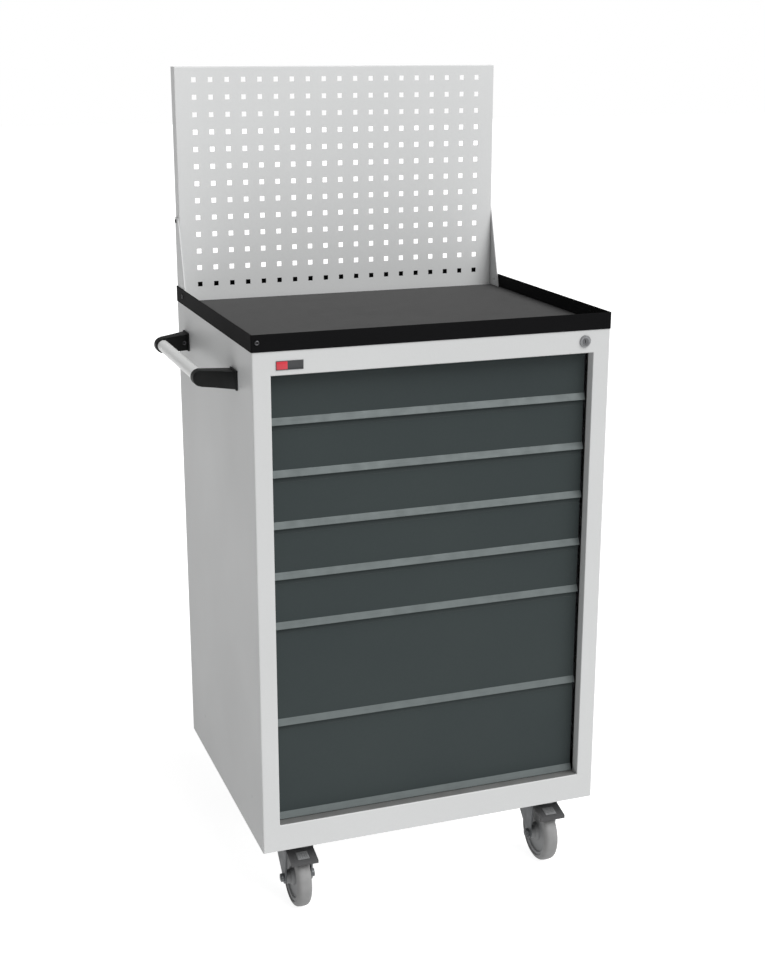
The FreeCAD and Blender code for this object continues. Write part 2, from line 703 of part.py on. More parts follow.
# ---------------------------------------------------------------- lock
def lock_housing():
    """Bezel and barrel through the header, and the nut behind it."""
    centre = (LOCK_X, LOCK_Z)
    bezel = rod("y", BEZEL_R, centre, -BEZEL_T, 0)
    face = [e for e in bezel.Edges if abs(e.BoundBox.YMax + BEZEL_T) < 1e-4]
    bezel = bezel.makeFillet(BEZEL_EDGE, face)
    barrel = rod("y", BARREL_R, centre, -BEZEL_T / 2.0, BARREL_L)
    bore = rod("y", PLUG_R + PLUG_FIT, centre, -BEZEL_T - 1, BARREL_L + 1)
    body = cut(join([bezel, barrel]), [bore])
    nut = rod("y", BARREL_R + LOCK_NUT_WALL, centre, SHEET, SHEET + LOCK_NUT_T)
    thread = rod("y", BARREL_R, centre, 0, BARREL_L)
    return [body, cut(nut, [thread])]


def turned(shape, angle):
    """The shape turned about the lock's axis."""
    piece = shape.copy()
    piece.rotate(V(LOCK_X, 0, LOCK_Z), V(0, 1, 0), angle)
    return piece


def lock_plug():
    """Round plug with a key slot across its face."""
    face = PLUG_SETBACK - BEZEL_T
    plug = rod("y", PLUG_R, (LOCK_X, LOCK_Z), face, BARREL_L + BAR_CLEAR)
    wide, tall, deep = KEY_SLOT
    key_way = box(LOCK_X - wide / 2, LOCK_X + wide / 2, face - 1, face + deep,
                  LOCK_Z - tall / 2, LOCK_Z + tall / 2)
    return cut(plug, [key_way])


def lock_cam():
    """Cam on the plug's inner end; its pin drives the bar."""
    y0 = BARREL_L + BAR_CLEAR
    y1 = y0 + CAM_T
    pin_spot = (LOCK_X + CAM_PIN_ORBIT, LOCK_Z)
    pin_end = y1 + BAR_ARM_GAP + BAR_T + BAR_PIN_PAST
    disc = rod("y", PLUG_R + CAM_RIM, (LOCK_X, LOCK_Z), y0, y1)
    tip = rod("y", CAM_PIN_R + CAM_RIM, pin_spot, y0, y1)
    web = box(LOCK_X, pin_spot[0], y0, y1, LOCK_Z - CAM_WEB / 2, LOCK_Z + CAM_WEB / 2)
    pin = rod("y", CAM_PIN_R, pin_spot, y0, pin_end)
    return turned(join([disc, tip, web, pin]), CAM_SWING / 2.0)


def lock_bar():
    """Upright bar inside the right stile with a slotted arm for the cam's pin."""
    half_swing = math.radians(CAM_SWING / 2.0)
    pin_z = LOCK_Z - CAM_PIN_ORBIT * math.sin(half_swing)
    pin_x = LOCK_X + CAM_PIN_ORBIT * math.cos(half_swing)
    arm_y = BARREL_L + BAR_CLEAR + CAM_T + BAR_ARM_GAP
    bar_x = OPEN_X1 + SHEET + BAR_CLEAR
    slot_half = CAM_PIN_R + BAR_SLOT_PLAY
    arm_half = slot_half + BAR_SLOT_RIM
    upright = box(bar_x, bar_x + BAR_T, arm_y + BAR_T - BAR_W, arm_y + BAR_T,
                  OPEN_Z0 + BAR_FOOT, pin_z + arm_half)
    arm = box(pin_x - slot_half - BAR_ARM_END, bar_x + BAR_T, arm_y, arm_y + BAR_T,
              pin_z - arm_half, pin_z + arm_half)
    way = box(pin_x - slot_half, LOCK_X + CAM_PIN_ORBIT + slot_half, arm_y - 1, arm_y + BAR_T + 1,
              pin_z - slot_half, pin_z + slot_half)
    tabs = []
    for bottom, _ in slots():
        z = bottom + RUNNER_RISE
        tabs.append(box(bar_x, bar_x + BAR_T, arm_y, arm_y + BAR_T + BAR_TAB_REACH, z, z + BAR_TAB_H))
    return cut(join([upright, arm] + tabs), [way])


# ---------------------------------------------------------------- castors
# A castor is drawn about its swivel axis with its wheel towards the front, z = 0 under the pan.
def castor_plate(cx, cy):
    """Mounting plate with the upper race, and the king pin with its nut."""
    plate = box(cx - PLATE_X / 2, cx + PLATE_X / 2, cy - PLATE_Y / 2, cy + PLATE_Y / 2, -PLATE_T, 0)
    corners = [(cx + sx * PLATE_X / 2, cy + sy * PLATE_Y / 2) for sx in (-1, 1) for sy in (-1, 1)]
    plate = rounded(plate, PLATE_R, ("z", corners))
    race = rod("z", RACE_R, (cx, cy), -PLATE_T - RACE_H, -PLATE_T)
    under = CROWN_LOW - FORK_T
    king = rod("z", KING_R, (cx, cy), under - KING_END, -PLATE_T)
    nut = rod("z", KING_R + KING_NUT_WALL, (cx, cy), under - KING_END, under - SWIVEL_GAP)
    holes = []
    for sx in (-0.5, 0.5):
        for sy in (-0.5, 0.5):
            holes.append(rod("z", BOLT_HOLE_R, (cx + sx * BOLT_X, cy + sy * BOLT_Y), -PLATE_T - 1, 1))
    return cut(join([plate, race, king, nut]), holes)


def castor_bolt(x, y):
    """Bolt with its head below the plate and a nut above the pan."""
    nut_top = BASE_SHEET + BOLT_NUT_T
    head = rod("z", BOLT_HEAD_R, (x, y), -PLATE_T - BOLT_HEAD_T, -PLATE_T)
    shank = rod("z", BOLT_R, (x, y), -PLATE_T - BOLT_HEAD_T, nut_top + BOLT_END)
    nut = rod("z", BOLT_HEAD_R, (x, y), BASE_SHEET, nut_top)
    return join([head, shank, nut])


def fork_leg_outline():
    """Side view of a fork leg: broad at the crown, round at the axle."""
    fore = -TRAIL - LEG_FORE
    arc = []
    for degrees in range(20, -201, -20):
        a = math.radians(degrees)
        arc.append((-TRAIL + LEG_EYE_R * math.cos(a), AXLE_Z + LEG_EYE_R * math.sin(a)))
    crown_side = [(fore, CROWN_LOW), (LEG_AFT, CROWN_LOW), (LEG_AFT, CROWN_LOW - LEG_SKIRT)]
    return crown_side + arc + [(fore, CROWN_LOW - LEG_SKIRT_FORE)]


def castor_fork(braked):
    """Swivel crown, two legs, and the axle bolt and nut; pedal pin on a braked castor."""
    half = FORK_W / 2.0
    crown = rod("z", CROWN_R, (0, 0), CROWN_LOW, CROWN_TOP)
    crown_edges = [e for e in crown.Edges if abs(e.BoundBox.ZMin - CROWN_TOP) < 1e-4]
    crown = crown.makeFillet(CROWN_EDGE, crown_edges)
    bridge = box(-half, half, -TRAIL - LEG_FORE, LEG_AFT, CROWN_LOW - FORK_T, CROWN_LOW)
    leg = prism("x", fork_leg_outline(), -half, -half + FORK_T)
    other = prism("x", fork_leg_outline(), half - FORK_T, half)
    king_way = rod("z", KING_R + RUN_FIT, (0, 0), CROWN_LOW - FORK_T - 1, CROWN_TOP + 1)
    axle_way = rod("x", AXLE_R, (-TRAIL, AXLE_Z), -half - 1, half + 1)
    pin_spot = pedal_pivot()
    tools = [king_way, axle_way]
    if braked:
        tools.append(rod("x", PEDAL_PIN_R, pin_spot, -half - 1, half + 1))
    body = cut(join([crown, bridge, leg, other]), tools)
    nut_end = half + AXLE_NUT_T
    nut_r = AXLE_R + AXLE_NUT_WALL
    axle = rod("x", AXLE_R, (-TRAIL, AXLE_Z), -nut_end - AXLE_END, nut_end + AXLE_END)
    head = rod("x", nut_r, (-TRAIL, AXLE_Z), -nut_end, -half)
    nut = rod("x", nut_r, (-TRAIL, AXLE_Z), half, nut_end)
    pieces = [body, join([axle, head, nut])]
    if braked:
        pin = rod("x", PEDAL_PIN_R, pin_spot, -half - PEDAL_PIN_END, half + PEDAL_PIN_END)
        pieces.append(pin)
    return pieces


def castor_wheel():
    """Hub and tyre, turned about the axle."""
    half = FORK_W / 2.0 - FORK_T - BOSS_PLAY
    rim_r = WHEEL_R - TYRE_WALL
    spot = (-TRAIL, AXLE_Z)
    face = TYRE_W / 2.0 - HUB_SETBACK
    core = rod("x", rim_r, spot, -face, face)
    boss = rod("x", BOSS_R, spot, -half, half)
    dishes = []
    for start, end in ((-face - 1, DISH_DEPTH - face), (face - DISH_DEPTH, face + 1)):
        ring = rod("x", rim_r - DISH_RIM, spot, start, end)
        dishes.append(cut(ring, [rod("x", DISH_HUB_R, spot, -TYRE_W, TYRE_W)]))
    bore = rod("x", AXLE_R + RUN_FIT, spot, -FORK_W, FORK_W)
    hub = cut(join([core, boss]), dishes + [bore])
    band = rod("x", WHEEL_R, spot, -TYRE_W / 2, TYRE_W / 2)
    tyre = cut(band, [rod("x", rim_r, spot, -TYRE_W, TYRE_W)])
    treads = [e for e in tyre.Edges if e.BoundBox.ZMax > AXLE_Z + WHEEL_R - 1e-3
              and e.BoundBox.XLength < 1e-3]
    return [hub, tyre.makeFillet(TYRE_EDGE, treads)]


def pedal_pivot():
    """Pedal pin's place in the castor's side view."""
    return (-TRAIL - PEDAL_PIN_FORE, CROWN_LOW - FORK_T - PEDAL_PIN_LOW)


def braked_tyre():
    """Room that the tyre needs, seen from a pedal that is pressed down."""
    py, pz = pedal_pivot()
    room = rod("x", WHEEL_R + SHOE_GAP, (-TRAIL, AXLE_Z), -FORK_W, FORK_W)
    room.rotate(V(0, py, pz), V(1, 0, 0), -PEDAL_SWING)
    return room


def brake_pedal():
    """Pedal plate on two arms, with the shoe that meets the tyre."""
    py, pz = pedal_pivot()
    heel = py - PEDAL_HEEL
    heel_z = pz + PEDAL_HEEL_RISE
    tip = PEDAL_SETBACK - CASTOR_INSET_Y
    tip_z = pz - PEDAL_TIP_DROP
    half = FORK_W / 2.0 - PEDAL_SIDE
    arm_out = FORK_W / 2.0 - FORK_T - BOSS_PLAY
    slope = (heel_z - tip_z) / (heel - tip)

    def top_at(y):
        return heel_z + slope * (y - heel)

    def slab(y0, y1, lift, half_width):
        outline = [(y0, top_at(y0) + lift), (y1, top_at(y1) + lift),
                   (y1, top_at(y1) - PEDAL_T), (y0, top_at(y0) - PEDAL_T)]
        return prism("x", outline, -half_width, half_width)

    plate = slab(heel, tip, 0, half)
    pad = slab(heel - PEDAL_FRAME_HEEL, tip + PEDAL_FRAME_TIP, PAD_LIFT, half - PEDAL_FRAME)
    skirt = box(-half, half, tip, tip + PEDAL_SKIRT_T, tip_z - PEDAL_T - PEDAL_SKIRT, tip_z - PEDAL_T / 2)
    pieces = [plate, pad, skirt]
    reach = heel - ARM_REACH
    side_view = [(py, pz + PEDAL_EYE_R), (reach, top_at(reach) - PEDAL_T / 2),
                 (reach, top_at(reach) - 2 * PEDAL_T), (py, pz - PEDAL_EYE_R)]
    for x0, x1 in ((-arm_out, PEDAL_ARM_T - arm_out), (arm_out - PEDAL_ARM_T, arm_out)):
        pieces.append(prism("x", side_view, x0, x1))
        pieces.append(rod("x", PEDAL_EYE_R, (py, pz), x0, x1))
    shoe_y = heel - SHOE_FORE
    pieces.append(box(-arm_out, arm_out, shoe_y, shoe_y + SHOE_T, pz - SHOE_DROP,
                      top_at(shoe_y) - PEDAL_T / 2))
    pin_way = rod("x", PEDAL_PIN_R + RUN_FIT, (py, pz), -half, half)
    return [cut(join(pieces), [pin_way, braked_tyre()])]


def stand(shapes, centre, angle):
    """Move castor pieces to a swivel axis and turn them about it."""
    placed = []
    for shape in shapes:
        piece = shape.copy()
        piece.rotate(V(0, 0, 0), V(0, 0, 1), angle)
        piece.translate(V(centre[0], centre[1], 0))
        placed.append(piece)
    return placed


def save_castors():
    """Plates, bolts and the four castors; the rear wheels trail towards the middle."""
    names = ["front_left", "front_right", "rear_left", "rear_right"]
    save("castor_plates", *[castor_plate(x, y) for x, y in castor_centres()])
    save("castor_bolts", *[castor_bolt(x, y) for x, y in bolt_places()])
    for name, centre in zip(names, castor_centres()):
        braked = name.startswith("front")
        angle = REST_TURN[name]
        save(name + "_fork", *stand(castor_fork(braked), centre, angle))
        save(name + "_wheel", *stand(castor_wheel(), centre, angle))
        if braked:
            save(name + "_pedal", *stand(brake_pedal(), centre, angle))


# ---------------------------------------------------------------- badge and screws
def badge_plate():
    """Plain nameplate with round ends, no lettering."""
    x0 = BADGE_IN
    x1 = BADGE_IN + BADGE_W
    z1 = BODY_H - BADGE_LOW
    z0 = z1 - BADGE_H
    plate = box(x0, x1, -BADGE_T, 0, z0, z1)
    plate = rounded(plate, BADGE_R, ("y", [(x0, z0), (x0, z1), (x1, z0), (x1, z1)]))
    front = [e for e in plate.Edges if abs(e.BoundBox.YMax + BADGE_T) < 1e-4]
    return plate.makeFillet(BADGE_EDGE, front)


def rim_screw_places():
    """Screws through the tray rim: (axis, centre, outer face, outward, length)."""
    rim_z = BODY_H + RIM_SCREW_RISE
    brace_y = PANEL_Y0 - RIM_SCREW_FORE
    edge = TRAY_OVERHANG
    long = TRAY_WALL + GUSSET_T
    return [
        ("y", (RIM_SCREW_IN, rim_z), -edge, -1, TRAY_WALL),
        ("y", (BODY_W - RIM_SCREW_IN, rim_z), BODY_D + edge, 1, TRAY_WALL),
        ("x", (brace_y, rim_z), -edge, -1, long),
        ("x", (brace_y, rim_z), BODY_W + edge, 1, long),
    ]


def brace_screw_places():
    """Screws through the gussets into the panel's side folds."""
    spot = (PANEL_Y1 - BRACE_SCREW_IN, TRAY_FLOOR + GUSSET_H - BRACE_SCREW_LOW)
    long = GUSSET_T + PANEL_SHEET
    return [
        ("x", spot, TRAY_IN, -1, long),
        ("x", spot, BODY_W - TRAY_IN, 1, long),
    ]


def arm_screw_place():
    """Set screw in the inner side of the front handle arm."""
    face = HANDLE_Y + FOOT_W / 2.0
    return ("y", (-FOOT_T - ARM_SCREW_OUT, HANDLE_Z), face, 1, ARM_SCREW_L)


def screw_way(place):
    """Clearance hole for one screw."""
    axis, centre, face, outward, length = place
    start = face + outward * HEAD_T
    end = face - outward * (length + SHANK_FIT)
    return rod(axis, SHANK_R + SHANK_FIT, centre, min(start, end), max(start, end))


def screw(axis, centre, face, outward, length):
    """Round-headed screw: head outside the face, shank into it."""
    outer = face + outward * HEAD_T
    inner = face - outward * length
    head = rod(axis, HEAD_R, centre, min(face, outer), max(face, outer))
    which = {"x": "XMin", "y": "YMin", "z": "ZMin"}[axis]
    rims = [e for e in head.Edges if len(e.Vertexes) == 1]
    outer_rim = [e for e in rims if abs(getattr(e.BoundBox, which) - outer) < 1e-4]
    shank = rod(axis, SHANK_R, centre, min(face, inner), max(face, inner))
    return join([head.makeFillet(HEAD_EDGE, outer_rim), shank])


def fasteners():
    """Tray, gusset and handle screws, and the rivets of the uprights."""
    pieces = [screw(*place) for place in rim_screw_places() + brace_screw_places()]
    arm = screw(*arm_screw_place())
    pieces += [arm, mirrored_y(arm)]
    for y0 in UPRIGHT_Y:
        for z in (RIVET_LOW, BODY_H - RIVET_HIGH):
            rivet = rod("x", RIVET_R, (y0 + UPRIGHT_W / 2.0, z), -RIVET_T, 0)
            pieces += [rivet, mirrored_x(rivet)]
    return pieces


def main():
    os.makedirs("parts", exist_ok=True)
    save("front_frame", front_frame())
    side = left_side_panel()
    save("left_side_panel", side)
    save("right_side_panel", mirrored_x(side))
    save("back_panel", back_panel())
    save("top_panel", top_panel())
    save("base_pan", base_pan())
    save("runner_uprights", *uprights())
    save_drawers()
    save("top_tray", top_tray())
    save("tray_mat", tray_mat())
    save("perforated_panel", perforated_panel())
    brace = gusset()
    save("panel_gussets", brace, mirrored_x(brace))
    bracket = handle_bracket()
    save("handle_brackets", bracket, mirrored_y(bracket))
    save("handle_tube", handle_tube())
    save("lock_housing", *lock_housing())
    save("lock_plug", lock_plug())
    save("lock_cam", lock_cam())
    save("lock_bar", lock_bar())
    save("badge_plate", badge_plate())
    save("fasteners", *fasteners())
    save_castors()
    print("drawer travel %.1f mm" % TRAVEL)


main()
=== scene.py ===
# %% [markdown]
# # A rolling tool chest
#
# The chest is a welded steel body on four castors. It holds seven drawers, wears a black
# tray with a rubber mat on top, and carries a perforated tool panel at the back.
#
# Its sheet-metal pieces arrive ready made from the engineering model. They already have true
# sizes, so this lesson gives them paint and metal. Pieces that a press, a mould or a lathe
# shapes more softly than the engineering model does are modelled again here, and a few small
# pieces that it leaves out are added.

# %% Load the engineering model
import json
import math

import bmesh
import bpy
from mathutils import Matrix, Vector


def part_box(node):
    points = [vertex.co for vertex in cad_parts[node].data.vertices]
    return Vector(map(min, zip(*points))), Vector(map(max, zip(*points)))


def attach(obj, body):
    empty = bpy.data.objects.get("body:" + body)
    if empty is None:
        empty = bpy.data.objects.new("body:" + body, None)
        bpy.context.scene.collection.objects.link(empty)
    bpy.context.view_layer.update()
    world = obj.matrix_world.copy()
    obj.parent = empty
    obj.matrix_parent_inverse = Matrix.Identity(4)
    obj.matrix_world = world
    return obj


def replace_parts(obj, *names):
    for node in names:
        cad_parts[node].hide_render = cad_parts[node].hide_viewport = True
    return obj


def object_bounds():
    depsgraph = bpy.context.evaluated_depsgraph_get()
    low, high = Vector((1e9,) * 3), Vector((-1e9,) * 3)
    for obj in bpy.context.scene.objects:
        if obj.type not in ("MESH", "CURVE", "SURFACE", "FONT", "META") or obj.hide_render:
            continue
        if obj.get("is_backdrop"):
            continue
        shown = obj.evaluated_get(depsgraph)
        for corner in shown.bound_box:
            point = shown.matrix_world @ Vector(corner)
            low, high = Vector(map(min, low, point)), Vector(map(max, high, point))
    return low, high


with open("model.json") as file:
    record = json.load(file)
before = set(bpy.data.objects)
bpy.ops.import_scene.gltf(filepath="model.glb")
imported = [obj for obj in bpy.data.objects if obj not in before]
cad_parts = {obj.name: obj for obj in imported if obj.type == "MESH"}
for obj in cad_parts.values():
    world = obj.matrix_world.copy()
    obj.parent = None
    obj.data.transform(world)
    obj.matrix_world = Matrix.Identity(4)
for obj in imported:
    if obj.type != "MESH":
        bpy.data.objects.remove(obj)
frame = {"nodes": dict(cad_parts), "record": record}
nodes = frame["nodes"]
record = frame["record"]
cad_box = [list(corner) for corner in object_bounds()]
MM = 0.001
print("pieces from the engineering model:", len(nodes))


# %% A helper that prints a length
def in_mm(length):
    """A length in metres, as text in millimetres."""
    return f"{length / MM:.1f} mm"


# %% [markdown]
# ## Colours
#
# Paint makers give colours as they look on a card. The shader wants the amount of light
# instead, so a card colour is turned into linear light first. One small function does this
# everywhere, by the rule that screens use.


# %% Turn a card colour into light
def card(red, green, blue):
    """Linear colour of a card colour given from 0 to 255, by the sRGB rule."""
    light = []
    for value in (red, green, blue):
        share = value / 255.0
        light.append(share / 12.92 if share <= 0.04045 else ((share + 0.055) / 1.055) ** 2.4)
    return (light[0], light[1], light[2], 1.0)


print("middle grey as light:", round(card(128, 128, 128)[0], 3))


# %% [markdown]
# ## Shared effects
#
# Powder coat, moulded grain and drawn metal each appear on several pieces. Each effect is a
# node group, built once and placed in every material with its own values. A group only puts
# out colours, roughness and heights. The shader itself stays in the material.


# %% A helper that opens an empty effect
def new_effect(name, inputs, outputs):
    """Node group with named sockets; inputs are (name, kind, start value)."""
    tree = bpy.data.node_groups.new(name, "ShaderNodeTree")
    for label, kind, start in inputs:
        socket = tree.interface.new_socket(label, in_out="INPUT", socket_type="NodeSocket" + kind)
        socket.default_value = start
    for label, kind in outputs:
        tree.interface.new_socket(label, in_out="OUTPUT", socket_type="NodeSocket" + kind)
    return tree, tree.nodes.new("NodeGroupInput"), tree.nodes.new("NodeGroupOutput")


# %% Helpers for the nodes that every effect uses
def node(tree, kind, **settings):
    """New node with its settings."""
    made = tree.nodes.new("ShaderNode" + kind)
    for name, value in settings.items():
        setattr(made, name, value)
    return made


def noise(tree, where, scale, detail):
    """Noise over a position; gives the socket of its value."""
    made = node(tree, "TexNoise")
    made.inputs["Scale"].default_value = scale
    made.inputs["Detail"].default_value = detail
    tree.links.new(where, made.inputs["Vector"])
    return made.outputs["Fac"]


def spread(tree, value, low, high, start=0.3, end=0.7):
    """Stretch a value from start..end, where most of a noise lies, to low..high."""
    made = node(tree, "MapRange")
    limits = {"From Min": start, "From Max": end, "To Min": low, "To Max": high}
    for label, number in limits.items():
        made.inputs[label].default_value = number
    tree.links.new(value, made.inputs["Value"])
    return made.outputs["Result"]


def tint(tree, amount, first, second):
    """Colour that goes from the first socket to the second by an amount."""
    made = node(tree, "Mix", data_type="RGBA")
    tree.links.new(amount, made.inputs["Factor"])
    tree.links.new(first, made.inputs["A"])
    tree.links.new(second, made.inputs["B"])
    return made.outputs["Result"]


def calculate(tree, sum_kind, first, second):
    """One sum of the values of two sockets."""
    made = node(tree, "Math", operation=sum_kind)
    tree.links.new(first, made.inputs[0])
    tree.links.new(second, made.inputs[1])
    return made.outputs["Value"]


# %% [markdown]
# ### Powder coat
#
# Powder is sprayed on dry and baked, and it flows into a faint orange peel about a millimetre
# across. Broad areas also differ a little where the coat is thicker, and fine specks differ
# in colour. One noise can't give all three, so there are three noises of different sizes.

# %% Build the powder coat
powder, given, result = new_effect(
    "powder coat",
    [("Colour", "Color", (0.5, 0.5, 0.5, 1)), ("Thin colour", "Color", (0.4, 0.4, 0.4, 1)),
     ("Roughness", "Float", 0.45), ("Peel size", "Float", 700.0)],
    [("Colour", "Color"), ("Roughness", "Float"), ("Height", "Float")],
)
place = node(powder, "TexCoord").outputs["Object"]
peel = node(powder, "TexNoise")
peel.inputs["Detail"].default_value = 2.0
powder.links.new(place, peel.inputs["Vector"])
powder.links.new(given.outputs["Peel size"], peel.inputs["Scale"])
patches = noise(powder, place, scale=3.1, detail=3.0)
specks = noise(powder, place, scale=260.0, detail=2.0)
thin = calculate(powder, "ADD", spread(powder, patches, low=0.0, high=0.6),
                 spread(powder, specks, low=0.0, high=0.25))
powder.links.new(tint(powder, thin, given.outputs["Colour"], given.outputs["Thin colour"]),
                 result.inputs["Colour"])
uneven = calculate(powder, "ADD", given.outputs["Roughness"],
                   spread(powder, patches, low=-0.04, high=0.05))
powder.links.new(uneven, result.inputs["Roughness"])
powder.links.new(peel.outputs["Fac"], result.inputs["Height"])
print("effect made:", powder.name)

# %% [markdown]
# ### Moulded grain
#
# Moulds for plastic and rubber are etched, so that the surface doesn't show fingerprints. The
# etching leaves tiny rounded cells. A cell texture is nearer to it than noise is.

# %% Build the moulded grain
grain, given, result = new_effect(
    "moulded grain",
    [("Colour", "Color", (0.1, 0.1, 0.1, 1)), ("Worn colour", "Color", (0.15, 0.15, 0.15, 1)),
     ("Roughness", "Float", 0.6), ("Cell size", "Float", 1400.0)],
    [("Colour", "Color"), ("Roughness", "Float"), ("Height", "Float")],
)
place = node(grain, "TexCoord").outputs["Object"]
cells = node(grain, "TexVoronoi", feature="SMOOTH_F1")
grain.links.new(place, cells.inputs["Vector"])
grain.links.new(given.outputs["Cell size"], cells.inputs["Scale"])
rubbed = noise(grain, place, scale=34.0, detail=4.0)
worn = spread(grain, rubbed, low=0.0, high=0.7)
grain.links.new(tint(grain, worn, given.outputs["Colour"], given.outputs["Worn colour"]),
                result.inputs["Colour"])
uneven = calculate(grain, "ADD", given.outputs["Roughness"],
                   spread(grain, rubbed, low=0.06, high=-0.06))
grain.links.new(uneven, result.inputs["Roughness"])
grain.links.new(cells.outputs["Distance"], result.inputs["Height"])
print("effect made:", grain.name)

# %% [markdown]
# ### Drawn metal
#
# Rolled and drawn metal keeps fine lines along the way it was pulled. Squeezing a noise in
# two directions and leaving it long in the third gives such lines. The drawers' grips, the
# runners and the uprights all run along different axes, so the squeeze is an input.

# %% Build the drawn metal
drawn, given, result = new_effect(
    "drawn metal",
    [("Colour", "Color", (0.5, 0.5, 0.5, 1)), ("Dull colour", "Color", (0.4, 0.4, 0.4, 1)),
     ("Roughness", "Float", 0.35), ("Squeeze", "Vector", (12.0, 900.0, 900.0))],
    [("Colour", "Color"), ("Roughness", "Float"), ("Height", "Float")],
)
place = node(drawn, "TexCoord").outputs["Object"]
squeezed = node(drawn, "VectorMath", operation="MULTIPLY")
drawn.links.new(place, squeezed.inputs[0])
drawn.links.new(given.outputs["Squeeze"], squeezed.inputs[1])
lines = noise(drawn, squeezed.outputs["Vector"], scale=1.0, detail=3.0)
clouds = noise(drawn, place, scale=45.0, detail=4.0)
dull = calculate(drawn, "MULTIPLY", spread(drawn, lines, low=0.2, high=1.0),
                 spread(drawn, clouds, low=0.3, high=1.0))
drawn.links.new(tint(drawn, dull, given.outputs["Colour"], given.outputs["Dull colour"]),
                result.inputs["Colour"])
uneven = calculate(drawn, "ADD", given.outputs["Roughness"],
                   spread(drawn, clouds, low=-0.07, high=0.08))
drawn.links.new(uneven, result.inputs["Roughness"])
drawn.links.new(lines, result.inputs["Height"])
print("effect made:", drawn.name)


# %% [markdown]
# ## Finishes
#
# A finish is a material: one effect, its values, and a Principled shader. Values that are the
# same all over, such as the metal share of a paint, go straight on the shader.


# %% A helper that mixes a finish
def mix_finish(name, effect, depth, metal=0.0, coat=0.0, specular=0.5, **values):
    """Material with one effect; depth is how deep its height is, in metres."""
    made = bpy.data.materials.new(name)
    made.use_nodes = True
    tree = made.node_tree
    shader = tree.nodes["Principled BSDF"]
    look = node(tree, "Group", node_tree=effect)
    for label, value in values.items():
        look.inputs[label.replace("_", " ").capitalize()].default_value = value
    bump = node(tree, "Bump")
    bump.inputs["Strength"].default_value = 1.0
    bump.inputs["Distance"].default_value = depth
    tree.links.new(look.outputs["Height"], bump.inputs["Height"])
    tree.links.new(bump.outputs["Normal"], shader.inputs["Normal"])
    tree.links.new(look.outputs["Colour"], shader.inputs["Base Color"])
    tree.links.new(look.outputs["Roughness"], shader.inputs["Roughness"])
    shader.inputs["Metallic"].default_value = metal
    shader.inputs["Coat Weight"].default_value = coat
    shader.inputs["Specular IOR Level"].default_value = specular
    return made


# %% [markdown]
# ### Paints
#
# The body, the panel and the handle's tube are light greys, each a little different. The
# drawer fronts are a dark grey with a hint of green. The tray is black and nearly matt.

# %% Mix the paints
finishes = {
    "body_paint": mix_finish("light grey body paint", powder, depth=0.00004, specular=0.25,
                             colour=card(198, 199, 199), thin_colour=card(193, 194, 194),
                             roughness=0.42, peel_size=620.0),
    "panel_paint": mix_finish("light grey panel paint", powder, depth=0.00004, specular=0.25,
                              colour=card(211, 212, 212), thin_colour=card(205, 206, 206),
                              roughness=0.5, peel_size=700.0),
    "tube_paint": mix_finish("light grey tube paint", powder, depth=0.00003, specular=0.4,
                             colour=card(236, 237, 236), thin_colour=card(229, 230, 229),
                             roughness=0.36, peel_size=800.0),
    "front_paint": mix_finish("dark grey drawer paint", powder, depth=0.00004, specular=0.15,
                              colour=card(54, 61, 61), thin_colour=card(49, 56, 57),
                              roughness=0.5, peel_size=620.0),
    "box_steel": mix_finish("grey box paint", powder, depth=0.00003, specular=0.3,
                            colour=card(96, 102, 102), thin_colour=card(88, 94, 94),
                            roughness=0.5, peel_size=800.0),
    "tray_black": mix_finish("black tray paint", powder, depth=0.00003, specular=0.04,
                             colour=card(14, 14, 15), thin_colour=card(20, 20, 21),
                             roughness=0.65, peel_size=560.0),
    "pedal_dark": mix_finish("dark pedal paint", powder, depth=0.00003, specular=0.3,
                             colour=card(62, 62, 63), thin_colour=card(78, 78, 79),
                             roughness=0.5, peel_size=900.0),
}
print("paints:", len(finishes))

# %% [markdown]
# ### Metals
#
# Zinc on steel is bluish and a little cloudy. The drawers' grips are painted to look like
# satin metal, so they reflect only partly. The lock's bezel and plug are satin metal, the
# bezel a shade lighter. Each squeeze leaves the lines long in the way its piece was drawn. The
# lock and the screws are small and have no such way, so theirs is the same all ways.

# %% Mix the metals
ALONG_X = (12.0, 900.0, 900.0)
ALONG_Y = (900.0, 12.0, 900.0)
ALONG_Z = (900.0, 900.0, 12.0)
FINE_ALL_WAYS = (300.0, 300.0, 300.0)
COARSE_ALL_WAYS = (200.0, 200.0, 200.0)
finishes["grip_metal"] = mix_finish(
    "satin grip", drawn, depth=0.00002, metal=0.2, specular=0.25, colour=card(94, 101, 101),
    dull_colour=card(84, 90, 90), roughness=0.45, squeeze=ALONG_X)
finishes["inner_steel"] = mix_finish(
    "zinc plated upright", drawn, depth=0.00002, metal=0.9, colour=card(176, 179, 183),
    dull_colour=card(150, 153, 158), roughness=0.42, squeeze=ALONG_Z)
finishes["runner_zinc"] = mix_finish(
    "zinc plated runner", drawn, depth=0.00002, metal=1.0, colour=card(172, 174, 178),
    dull_colour=card(146, 148, 152), roughness=0.34, squeeze=ALONG_Y)
finishes["castor_steel"] = mix_finish(
    "zinc plated castor", drawn, depth=0.00002, metal=0.75, colour=card(116, 118, 120),
    dull_colour=card(84, 86, 88), roughness=0.42, squeeze=ALONG_Z)
finishes["lock_chrome"] = mix_finish(
    "satin lock plug", drawn, depth=0.00001, metal=1.0, colour=card(128, 129, 131),
    dull_colour=card(98, 99, 101), roughness=0.32, squeeze=FINE_ALL_WAYS)
finishes["bezel_satin"] = mix_finish(
    "satin lock bezel", drawn, depth=0.00001, metal=1.0, colour=card(158, 159, 161),
    dull_colour=card(134, 135, 137), roughness=0.3, squeeze=FINE_ALL_WAYS)
